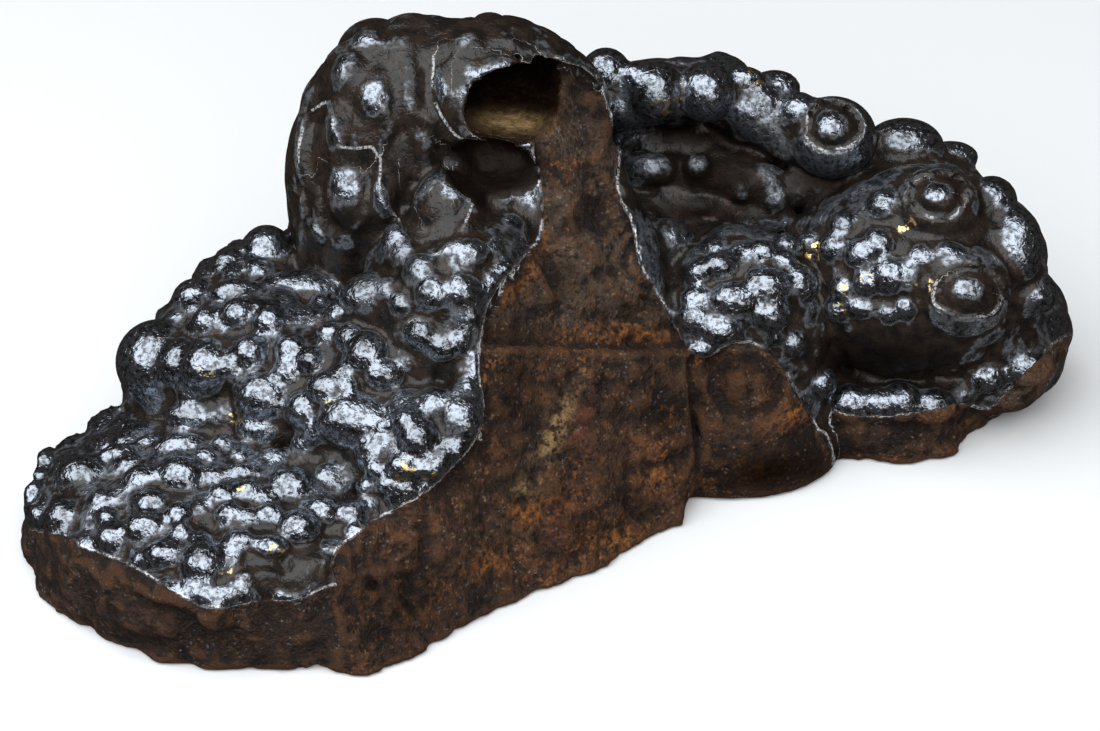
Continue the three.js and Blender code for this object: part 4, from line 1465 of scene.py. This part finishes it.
@dataclass
class SurfaceNet:
    """Meshes the zero level of a volume.

    Each grid cell that the level passes through gets one vertex, at the mean of the level's
    crossings of the cell's twelve edges. Each crossed edge gets one quad from the four cells
    around it.
    """

    grid: Grid
    volume: np.ndarray

    def crossings(self, axis: int) -> tuple[np.ndarray, np.ndarray, np.ndarray]:
        """Find the grid edges along an axis that the level crosses.

        With a and b the values at an edge's ends, the crossing is at a / (a - b) along it.

        Args:
            axis: 0, 1 or 2.

        Returns:
            The edges' first indices, the crossing points in grid units, and which start inside.
        """
        ends = [slice(None)] * 3
        ends[axis] = slice(0, -1)
        first = self.volume[tuple(ends)]
        ends[axis] = slice(1, None)
        second = self.volume[tuple(ends)]
        index = np.argwhere((first < 0) != (second < 0))
        a = first[tuple(index.T)].astype(float)
        b = second[tuple(index.T)].astype(float)
        points = index.astype(float)
        points[:, axis] += a / (a - b)
        return index, points, a < 0

    def around(self, index: np.ndarray, axis: int) -> np.ndarray:
        """The four cells around each edge, in turn about the axis, as cell numbers."""
        b, c = (axis + 1) % 3, (axis + 2) % 3
        cells = np.repeat(index[:, None, :], 4, axis=1)
        cells[:, :, b] += np.array((-1, 0, 0, -1))
        cells[:, :, c] += np.array((-1, -1, 0, 0))
        shape = self.volume.shape
        return (cells[..., 0] * shape[1] + cells[..., 1]) * shape[2] + cells[..., 2]

    def build(self) -> tuple[np.ndarray, np.ndarray]:
        """Make the net.

        Returns:
            Vertices in mm and quads that face outwards.
        """
        cells, points, quads = [], [], []
        for axis in range(3):
            index, crossing, starts_inside = self.crossings(axis)
            around = self.around(index, axis)
            cells.append(around.ravel())
            points.append(np.repeat(crossing, 4, axis=0))
            quads.append(np.where(starts_inside[:, None], around, around[:, ::-1]))
        names, number = np.unique(np.concatenate(cells), return_inverse=True)
        spots = np.concatenate(points)
        count = np.bincount(number, minlength=len(names))
        sums = [np.bincount(number, spots[:, k], len(names)) / count for k in range(3)]
        vertices = np.stack(sums, axis=1) * self.grid.pitch + np.array(self.grid.low)
        return vertices, np.searchsorted(names, np.concatenate(quads))


def make_mesh(name: str, vertices: np.ndarray, faces: np.ndarray) -> bpy.types.Mesh:
    """Put vertices and faces of one size into a new mesh with smooth shading.

    Args:
        name: Name of the mesh.
        vertices: Places in metres, shape (n, 3).
        faces: Vertex numbers, shape (m, k).

    Returns:
        The mesh.
    """
    mesh = bpy.data.meshes.new(name)
    mesh.vertices.add(len(vertices))
    mesh.vertices.foreach_set("co", vertices.astype(np.float32).ravel())
    mesh.loops.add(faces.size)
    mesh.loops.foreach_set("vertex_index", faces.astype(np.int32).ravel())
    mesh.polygons.add(len(faces))
    mesh.polygons.foreach_set("loop_start", np.arange(0, faces.size, faces.shape[1], dtype=np.int32))
    mesh.polygons.foreach_set("use_smooth", np.ones(len(faces), bool))
    mesh.update(calc_edges=True)
    mesh.validate()
    return mesh


def vertex_vectors(mesh: bpy.types.Mesh, name: str) -> np.ndarray:
    """The places ("co") or normals ("normal") of the mesh's vertices, shape (n, 3)."""
    vectors = np.empty(len(mesh.vertices) * 3, np.float32)
    mesh.vertices.foreach_get(name, vectors)
    return vectors.reshape(-1, 3).astype(float)


def mesh_edges(mesh: bpy.types.Mesh) -> np.ndarray:
    """The mesh's edges as pairs of vertex numbers."""
    pairs = np.empty(len(mesh.edges) * 2, np.int32)
    mesh.edges.foreach_get("vertices", pairs)
    return pairs.reshape(-1, 2)


def add_attribute(mesh: bpy.types.Mesh, name: str, values: np.ndarray) -> None:
    """Store one number for each vertex under a name."""
    layer = mesh.attributes.new(name, "FLOAT", "POINT")
    layer.data.foreach_set("value", values.astype(np.float32))


def crest_height(mesh: bpy.types.Mesh, rounds: int) -> np.ndarray:
    """How far each vertex stands above its smoothed surroundings.

    The places are averaged with their neighbours several times. The height is the old place
    less the averaged one, along the normal.

    Args:
        mesh: A closed mesh in metres.
        rounds: How many times to average.

    Returns:
        Heights in mm, positive on crests and negative in grooves.
    """
    places = vertex_vectors(mesh, "co")
    pairs = mesh_edges(mesh)
    ends = np.concatenate([pairs, pairs[:, ::-1]])
    count = np.bincount(ends[:, 0], minlength=len(places))
    smooth = places.copy()
    for _ in range(rounds):
        sums = [np.bincount(ends[:, 0], smooth[ends[:, 1], k], len(places)) for k in range(3)]
        smooth = 0.5 * smooth + 0.5 * np.stack(sums, axis=1) / np.maximum(count, 1)[:, None]
    return np.einsum("ij,ij->i", places - smooth, vertex_vectors(mesh, "normal")) / MM


# ---------------------------------------------------------------- finishes


FALLING: Pair = (1.0, 0.0)


class Bench:
    """Builds a node tree with short calls. Sockets and plain numbers may be mixed."""

    def __init__(self, name: str) -> None:
        """Start a new material with an empty tree.

        Args:
            name: Name of the material.
        """
        self.material = bpy.data.materials.new(name)
        self.material.use_nodes = True
        self.tree = self.material.node_tree
        self.tree.nodes.clear()
        place = self.node("ShaderNodeTexCoord").outputs["Object"]
        self.place = self.scaled(place, 1.0 / MM)

    def node(self, kind: str, **settings: object) -> bpy.types.Node:
        """Add a node with settings."""
        node = self.tree.nodes.new(kind)
        for key, value in settings.items():
            setattr(node, key, value)
        return node

    def feed(self, socket: Socket, value: object) -> None:
        """Link a socket to another, or set its number or colour."""
        if isinstance(value, Socket):
            self.tree.links.new(value, socket)
        else:
            socket.default_value = value

    def scaled(self, vector: object, factor: object) -> Socket:
        """Multiply a vector by a number, or by a vector part by part."""
        mode = "MULTIPLY" if isinstance(factor, tuple) else "SCALE"
        node = self.node("ShaderNodeVectorMath", operation=mode)
        self.feed(node.inputs[0], vector)
        self.feed(node.inputs[1 if mode == "MULTIPLY" else "Scale"], factor)
        return node.outputs[0]

    def split(self, kind: str, value: Socket) -> list[Socket]:
        """The three parts of a vector or colour, by a node of the kind that separates it."""
        node = self.node(kind)
        self.feed(node.inputs[0], value)
        return list(node.outputs)

    def math(self, operation: str, a: object, b: object = 0.0) -> Socket:
        """One arithmetic step."""
        node = self.node("ShaderNodeMath", operation=operation)
        self.feed(node.inputs[0], a)
        self.feed(node.inputs[1], b)
        return node.outputs[0]

    def times(self, *values: object) -> Socket:
        """The product of several values."""
        return reduce(lambda a, b: self.math("MULTIPLY", a, b), values)

    def plus(self, *values: object) -> Socket:
        """The sum of several values."""
        return reduce(lambda a, b: self.math("ADD", a, b), values)

    def step(self, value: object, low: float, high: float, to: Pair = (0.0, 1.0)) -> Socket:
        """A smooth rise of a value from low to high, or a fall where to is turned round."""
        node = self.node("ShaderNodeMapRange", interpolation_type="SMOOTHSTEP")
        self.feed(node.inputs["Value"], value)
        ends = ("From Min", "From Max", "To Min", "To Max")
        for key, number in zip(ends, (low, high, *to)):
            node.inputs[key].default_value = number
        return node.outputs["Result"]

    def noise(
        self,
        pitch: float,
        detail: float = 2.0,
        stretch: Row = (1.0, 1.0, 1.0),
        rough: float = 0.5,
    ) -> Socket:
        """Cloudy noise from 0 to 1.

        Args:
            pitch: Size of the largest clouds in mm.
            detail: How many finer noises are added.
            stretch: How far the clouds are drawn out along x, y and z.
            rough: Strength of each finer noise against the one before it.

        Returns:
            The noise.
        """
        node = self.node("ShaderNodeTexNoise")
        self.feed(node.inputs["Vector"], self.scaled(self.place, tuple(1.0 / s for s in stretch)))
        node.inputs["Scale"].default_value = 1.0 / pitch
        node.inputs["Detail"].default_value = detail
        node.inputs["Roughness"].default_value = rough
        return node.outputs["Fac"]

    def patches(
        self, pitch: float, detail: float, ends: Pair, to: Pair = (0.0, 1.0), rough: float = 0.5
    ) -> Socket:
        """Noise sharpened into patches.

        Args:
            pitch: Size of the largest patches in mm.
            detail: How many finer noises are added.
            ends: The noise's values where the patches start and are full.
            to: The values outside and inside the patches.
            rough: Strength of each finer noise against the one before it.

        Returns:
            The patches.
        """
        return self.step(self.noise(pitch, detail, rough=rough), *ends, to)

    def grains(self, pitch: float) -> list[Socket]:
        """Three random numbers for each cell of a pattern with a pitch in mm."""
        cells = self.node("ShaderNodeTexVoronoi")
        self.feed(cells.inputs["Vector"], self.place)
        cells.inputs["Scale"].default_value = 1.0 / pitch
        return self.split("ShaderNodeSeparateColor", cells.outputs["Color"])

    def attribute(self, name: str) -> Socket:
        """A number that the mesh holds at each vertex."""
        return self.node("ShaderNodeAttribute", attribute_name=name).outputs["Fac"]

    def mix(self, amount: object, a: object, b: object) -> Socket:
        """Mix two colours."""
        node = self.node("ShaderNodeMix", data_type="RGBA")
        self.feed(node.inputs["Factor"], amount)
        self.feed(node.inputs[6], a)
        self.feed(node.inputs[7], b)
        return node.outputs[2]

    def blend(self, amount: object, a: object, b: object) -> Socket:
        """Mix two numbers."""
        node = self.node("ShaderNodeMix", data_type="FLOAT")
        self.feed(node.inputs["Factor"], amount)
        self.feed(node.inputs[2], a)
        self.feed(node.inputs[3], b)
        return node.outputs[0]

    def finish(
        self, colour: object, roughness: object, metallic: object, height: object, ior: float
    ) -> bpy.types.Material:
        """Close the tree with a principled shader.

        Args:
            colour: Base colour.
            roughness: Roughness.
            metallic: Metallic.
            height: Relief in mm, or None.
            ior: Index of refraction.

        Returns:
            The material.
        """
        shader = self.node("ShaderNodeBsdfPrincipled")
        self.feed(shader.inputs["Base Color"], colour)
        self.feed(shader.inputs["Roughness"], roughness)
        self.feed(shader.inputs["Metallic"], metallic)
        shader.inputs["IOR"].default_value = ior
        if height is not None:
            bump = self.node("ShaderNodeBump")
            bump.inputs["Strength"].default_value = 1.0
            bump.inputs["Distance"].default_value = MM
            self.feed(bump.inputs["Height"], height)
            self.tree.links.new(bump.outputs["Normal"], shader.inputs["Normal"])
        output = self.node("ShaderNodeOutputMaterial")
        self.tree.links.new(shader.outputs["BSDF"], output.inputs["Surface"])
        return self.material


@dataclass(frozen=True)
class CrustFinish:
    """Glossy dark growth, dull brown where it is broken, with thin painted highlights on broken edges.
    """

    bright: Colour = (0.28, 0.305, 0.345, 1.0)
    bright_warm: Colour = (0.18, 0.195, 0.21, 1.0)
    dull: Colour = (0.008, 0.007, 0.0065, 1.0)
    dust: Colour = (0.027, 0.0175, 0.012, 1.0)
    rock_pale: Colour = (0.088, 0.060, 0.041, 1.0)
    rock_dark: Colour = (0.011, 0.006, 0.004, 1.0)
    rock: Colour = (0.056, 0.025, 0.012, 1.0)
    rock_warm: Colour = (0.132, 0.052, 0.017, 1.0)
    rust: Colour = (0.36, 0.120, 0.015, 1.0)
    ochre: Colour = (0.38, 0.24, 0.10, 1.0)
    red: Colour = (0.13, 0.016, 0.010, 1.0)
    gold_glint: Colour = (0.75, 0.55, 0.24, 1.0)
    edge_highlight: Colour = (0.55, 0.54, 0.55, 1.0)
    ior: float = 1.4

    def make(self) -> bpy.types.Material:
        """Build the material."""
        b = Bench("hematite_crust")
        jag = b.plus(b.noise(1.4, 4.0), -0.5)
        edge = b.plus(b.attribute("crust"), b.times(jag, 0.9))
        peel = b.plus(b.attribute("peel"), b.times(jag, 0.5))
        crust = b.step(edge, -0.08, 0.08)
        edge_highlight = self.edge_highlight_line(b, edge, peel)
        hollow = b.attribute("hollow")
        colour = b.mix(crust, self.rock_colour(b), self.crust_colour(b))
        # Painted shade: the hollow layer blackens the hollow, the recess and shaded places.
        colour = b.mix(b.times(hollow, 0.8), colour, self.rock_dark)
        patina = b.patches(1.3, 4.0, (0.3, 0.6), (0.35, 0.9))
        patina = b.times(b.attribute("ochre"), hollow, patina)
        colour = b.mix(patina, colour, self.ochre)
        # Painted highlight along the broken edges.
        colour = b.mix(edge_highlight, colour, self.edge_highlight)
        # Painted reflections: golden flecks.
        gold_glint_spot = self.flecks(b)
        colour = b.mix(gold_glint_spot, colour, self.gold_glint)
        rough = b.blend(crust, self.rock_roughness(b), self.crust_roughness(b))
        rough = b.blend(b.times(hollow, 0.9), rough, 0.75)
        rough = b.blend(edge_highlight, rough, 0.35)
        rough = b.blend(gold_glint_spot, rough, 0.3)
        metallic = b.blend(crust, self.sparkle(b), b.times(self.gloss(b), 0.95))
        # Where the painted shade lies the skin turns metallic too, which blackens it further, save under
        # the ochre patina.
        metallic = b.math("MAXIMUM", metallic, b.plus(hollow, b.times(patina, -1.0)))
        metallic = b.math("MAXIMUM", metallic, gold_glint_spot)
        height = b.blend(crust, self.rock_height(b), self.crust_height(b))
        return b.finish(colour, rough, metallic, height, self.ior)

    def edge_highlight_line(self, b: Bench, edge: Socket, peel: Socket) -> Socket:
        """A thin painted highlight along broken edges, left out here and there."""
        patchy = b.patches(5.0, 2.0, (0.42, 0.52))
        near = b.step(b.math("ABSOLUTE", b.plus(edge, -0.15)), 0.12, 0.34, FALLING)
        ring = b.step(b.math("ABSOLUTE", peel), 0.10, 0.28, FALLING)
        line = b.math("MAXIMUM", near, b.times(ring, 0.8))
        grain = b.patches(0.35, 2.0, (0.35, 0.6))
        return b.times(line, patchy, grain)

    def flecks(self, b: Bench) -> Socket:
        """Painted reflections: golden flecks where the golden glint patches allow them."""
        patch = b.patches(1.1, 2.0, (0.55, 0.6))
        return b.times(patch, b.step(b.attribute("gold_glint"), 0.25, 0.5))

    def gloss(self, b: Bench) -> Socket:
        """How polished the growth is: most on the crests of lumps, little in the valleys."""
        small = b.times(b.plus(b.noise(1.6, 3.0), -0.5), 1.2)
        broad = b.times(b.plus(b.noise(6.0, 2.0, (1.0, 1.0, 1.8)), -0.5), 1.6)
        height = b.plus(b.attribute("swell"), small, broad)
        return b.step(b.plus(height, b.times(b.attribute("polish"), 1.5)), 0.95, 1.5)

    def crust_colour(self, b: Bench) -> Socket:
        """Bluish steel on the crests, dull black with dusty brown patches below them."""
        bright = b.mix(b.patches(7.0, 3.0, (0.45, 0.75)), self.bright, self.bright_warm)
        specks = b.patches(0.8, 4.0, (0.38, 0.56), (0.25, 1.0), 0.65)
        low = b.mix(b.patches(2.2, 6.0, (0.36, 0.66), rough=0.65), self.dull, self.dust)
        return b.mix(b.times(self.gloss(b), specks), low, bright)

    def crust_roughness(self, b: Bench) -> Socket:
        """Glossy on the crests, with duller clouds and pits."""
        clouds = b.times(b.patches(3.0, 3.0, (0.35, 0.75)), 0.06)
        pits = b.times(b.patches(0.45, 2.0, (0.52, 0.66)), 0.10)
        return b.plus(b.blend(self.gloss(b), 0.26, 0.13), clouds, pits)

    def crust_height(self, b: Bench) -> Socket:
        """Pits about a third of a mm across in a slightly uneven, upright streaked skin."""
        pits = b.patches(0.7, 2.0, (0.52, 0.70), (0.0, -0.05))
        dimples = b.times(b.noise(2.0, 2.0), 0.14)
        streaks = b.times(b.noise(2.2, 3.0, (1.0, 1.0, 3.0)), 0.30)
        return b.plus(pits, dimples, streaks)

    def rock_colour(self, b: Bench) -> Socket:
        """Brown rock: clouds of several tones, then mottles and grains, stains, painted shade in the
        grooves of the relief and warmer crests.
        """
        across, _, up = b.split("ShaderNodeSeparateXYZ", b.place)
        clouds = b.noise(7.0, 6.0, rough=0.65)
        colour = b.mix(b.step(clouds, 0.36, 0.52), self.rock_dark, self.rock)
        colour = b.mix(b.step(clouds, 0.54, 0.68), colour, self.rock_warm)
        level = b.plus(up, b.times(across, 0.38))
        upper = b.times(b.step(level, 32.4, 33.6), b.step(clouds, 0.38, 0.55))
        colour = b.mix(b.times(upper, 0.75), colour, self.rock_pale)
        mottle = b.noise(1.1, 5.0, rough=0.7)
        colour = b.mix(b.step(mottle, 0.36, 0.50, (0.85, 0.0)), colour, self.rock_dark)
        colour = self.rusty_grains(b, colour, mottle)
        left = b.step(across, -36.0, -26.0, (0.6, 0.0))
        colour = b.mix(left, colour, self.rock_dark)
        crumbs = b.step(mottle, 0.42, 0.60, (0.05, 1.0))
        for name, tone in (("rust", self.rust), ("ochre", self.ochre), ("red", self.red)):
            colour = b.mix(b.times(b.attribute(name), crumbs), colour, tone)
        # Painted shade darkens the grooves of the relief; the crests are made warmer.
        relief = b.attribute("crest")
        colour = b.mix(b.step(relief, -0.17, -0.02, (0.75, 0.0)), colour, self.rock_dark)
        colour = b.mix(b.step(relief, 0.04, 0.20, (0.0, 0.4)), colour, self.rock_warm)
        return b.mix(b.times(self.sparkle(b), 0.8), colour, self.bright)

    def rusty_grains(self, b: Bench, colour: Socket, mottle: Socket) -> Socket:
        """Lay rust in patches of the mottled rock, and dark, rusty and pale grains over it."""
        patches = b.patches(9.0, 4.0, (0.46, 0.64), rough=0.6)
        colour = b.mix(b.times(b.step(mottle, 0.54, 0.68), patches, 0.8), colour, self.rust)
        dark, rusty, pale = b.grains(0.42)
        colour = b.mix(b.step(dark, 0.25, 0.10, (0.0, 0.6)), colour, self.rock_dark)
        colour = b.mix(b.times(b.step(rusty, 0.86, 0.98), patches, 0.6), colour, self.rust)
        flecks = b.times(b.step(pale, 0.93, 0.99), b.step(mottle, 0.46, 0.6), 0.5)
        return b.mix(flecks, colour, self.ochre)

    def rock_roughness(self, b: Bench) -> Socket:
        """Dull, with a few glossier patches."""
        return b.plus(0.30, b.times(b.noise(2.0, 4.0), 0.50))

    def sparkle(self, b: Bench) -> Socket:
        """A few metallic grains in the rock."""
        chance, _, _ = b.grains(0.3)
        return b.times(b.step(chance, 0.95, 0.98), b.patches(3.5, 3.0, (0.45, 0.65)), 0.7)

    def rock_height(self, b: Bench) -> Socket:
        """Crumbly grain over a hackly break."""
        hackle = b.times(b.noise(2.8, 6.0, rough=0.7), 2.2)
        grain = b.times(b.noise(0.6, 3.0, rough=0.6), 0.45)
        return b.plus(hackle, grain)


@dataclass(frozen=True)
class FloorFinish:
    """A plain pale matt floor."""

    colour: Colour = (0.88, 0.88, 0.88, 1.0)
    roughness: float = 0.9

    def make(self) -> bpy.types.Material:
        """Build the material."""
        return Bench("studio_floor").finish(self.colour, self.roughness, 0.0, None, 1.45)


# ---------------------------------------------------------------- the stone and the studio


@dataclass
class HematiteStone:
    """The whole stone, as one closed mesh."""

    grid: Grid = field(default_factory=Grid)
    finish: CrustFinish = CrustFinish()
    triangle_limit: int = 196000
    crest_rounds: tuple[tuple[str, int], ...] = (("crest", 8), ("swell", 60))

    def build(self) -> bpy.types.Object:
        """Mesh the field, thin it where it is flat, and store its stains and painted shade.

        Returns:
            The stone's object, at the origin.
        """
        stone_field = StoneField(self.grid)
        stone_field.grow()
        volume, front = stone_field.full()
        vertices, quads = SurfaceNet(self.grid, volume).build()
        log.info("net of %d quads", len(quads))
        places = (vertices - np.array(STONE_MIDDLE)) * MM
        stone = bpy.data.objects.new("stone", make_mesh("stone", places, quads))
        bpy.context.scene.collection.objects.link(stone)
        self.thin(stone, 2 * len(quads))
        self.store(stone.data, stone_field, front)
        stone.data.materials.append(self.finish.make())
        return stone

    def thin(self, stone: bpy.types.Object, triangles: int) -> None:
        """Merge triangles where the skin is flattest, down to the limit."""
        modifier = stone.modifiers.new("thin", "DECIMATE")
        modifier.ratio = min(1.0, self.triangle_limit / triangles)
        graph = bpy.context.evaluated_depsgraph_get()
        thinned = bpy.data.meshes.new_from_object(stone.evaluated_get(graph))
        stone.modifiers.clear()
        old, stone.data = stone.data, thinned
        bpy.data.meshes.remove(old)
        thinned.name = "stone"

    def store(self, mesh: bpy.types.Mesh, stone_field: StoneField, front: ChartFront) -> None:
        """Put the field's layers, stains and painted shade among them, on the mesh's vertices."""
        points = vertex_vectors(mesh, "co") / MM + np.array(STONE_MIDDLE)
        skins = {g: self.grid.sample(v, points) for g, v in stone_field.skins.items()}
        lumps = {g: self.grid.sample(v, points) for g, v in stone_field.lumps.items()}
        layers = stone_field.layers(points, skins, lumps, front)
        for name, values in layers.attributes().items():
            add_attribute(mesh, name, values)
        for name, rounds in self.crest_rounds:
            add_attribute(mesh, name, crest_height(mesh, rounds))


@dataclass(frozen=True)
class Lamp:
    """A rectangular soft light: place and size in metres, power in watts and colour."""

    name: str
    place: Row
    size: Pair
    power: float
    colour: Row


LAMPS = (
    Lamp("overhead", (-0.20, -0.34, 0.70), (1.6, 1.15), 18.0, (0.93, 0.97, 1.0)),
    Lamp("front", (0.5, -1.1, 0.3), (0.6, 0.4), 1.5, (1.0, 0.97, 0.93)),
)


@dataclass
class Studio:
    """Floor, lights and camera. Lengths are in metres, apart from the lens and film in mm."""

    chart: Chart = Chart()
    floor_size: float = 8.0
    floor_drop: float = 0.00005
    lamp_target: Row = (0.0, 0.0, 0.03)
    world_colour: Colour = (0.040, 0.030, 0.024, 1.0)
    lens: float = 112.3
    film_width: float = 36.0
    nearest: float = 0.01
    finish: FloorFinish = FloorFinish()

    def lay_floor(self) -> bpy.types.Object:
        """Make the floor, just under the stone."""
        half = self.floor_size / 2.0
        flat = ((-half, -half), (half, -half), (half, half), (-half, half))
        corners = np.array([(x, y, -self.floor_drop) for x, y in flat])
        floor = bpy.data.objects.new("floor", make_mesh("floor", corners, np.array([[0, 1, 2, 3]])))
        floor.data.materials.append(self.finish.make())
        floor.visible_glossy = False
        bpy.context.scene.collection.objects.link(floor)
        return floor

    def aim(self, thing: bpy.types.Object, place: Vector, target: Vector) -> None:
        """Put a lamp or camera at a place, looking at a target."""
        thing.location = place
        thing.rotation_euler = (target - place).to_track_quat("-Z", "Y").to_euler()

    def hang(self, lamp: Lamp) -> None:
        """Hang a light that looks at the stone."""
        data = bpy.data.lights.new(lamp.name, "AREA")
        data.shape = "RECTANGLE"
        data.size, data.size_y = lamp.size
        data.energy = lamp.power
        data.color = lamp.colour
        light = bpy.data.objects.new(lamp.name, data)
        self.aim(light, Vector(lamp.place), Vector(self.lamp_target))
        bpy.context.scene.collection.objects.link(light)

    def light(self) -> None:
        """Hang the lights and set a dim world."""
        for lamp in LAMPS:
            self.hang(lamp)
        world = bpy.data.worlds.new("studio")
        world.use_nodes = True
        back = world.node_tree.nodes["Background"]
        back.inputs["Color"].default_value = self.world_colour
        back.inputs["Strength"].default_value = 1.0
        bpy.context.scene.world = world
        bpy.context.scene.view_settings.view_transform = "Standard"

    def set_camera(self) -> None:
        """Set the camera on the chart's eye."""
        data = bpy.data.cameras.new("camera")
        data.sensor_width = self.film_width
        data.lens = self.lens
        data.clip_start = self.nearest
        camera = bpy.data.objects.new("camera", data)
        middle = np.array(STONE_MIDDLE)
        place = Vector((self.chart.eye - middle) * MM)
        self.aim(camera, place, Vector((np.array(self.chart.centre) - middle) * MM))
        bpy.context.scene.collection.objects.link(camera)
        bpy.context.scene.camera = camera


def main() -> None:
    """Build the stone and the studio."""
    logging.basicConfig(level=logging.INFO, format="%(message)s")
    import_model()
    stone = HematiteStone().build()
    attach(stone, "root")
    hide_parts(STONE_NODE)
    log.info("%s: %d triangles", stone.name, sum(len(p.vertices) - 2 for p in stone.data.polygons))
    studio = Studio()
    studio.lay_floor()
    studio.light()
    studio.set_camera()
    bpy.context.view_layer.update()


if __name__ == "__main__":
    main()
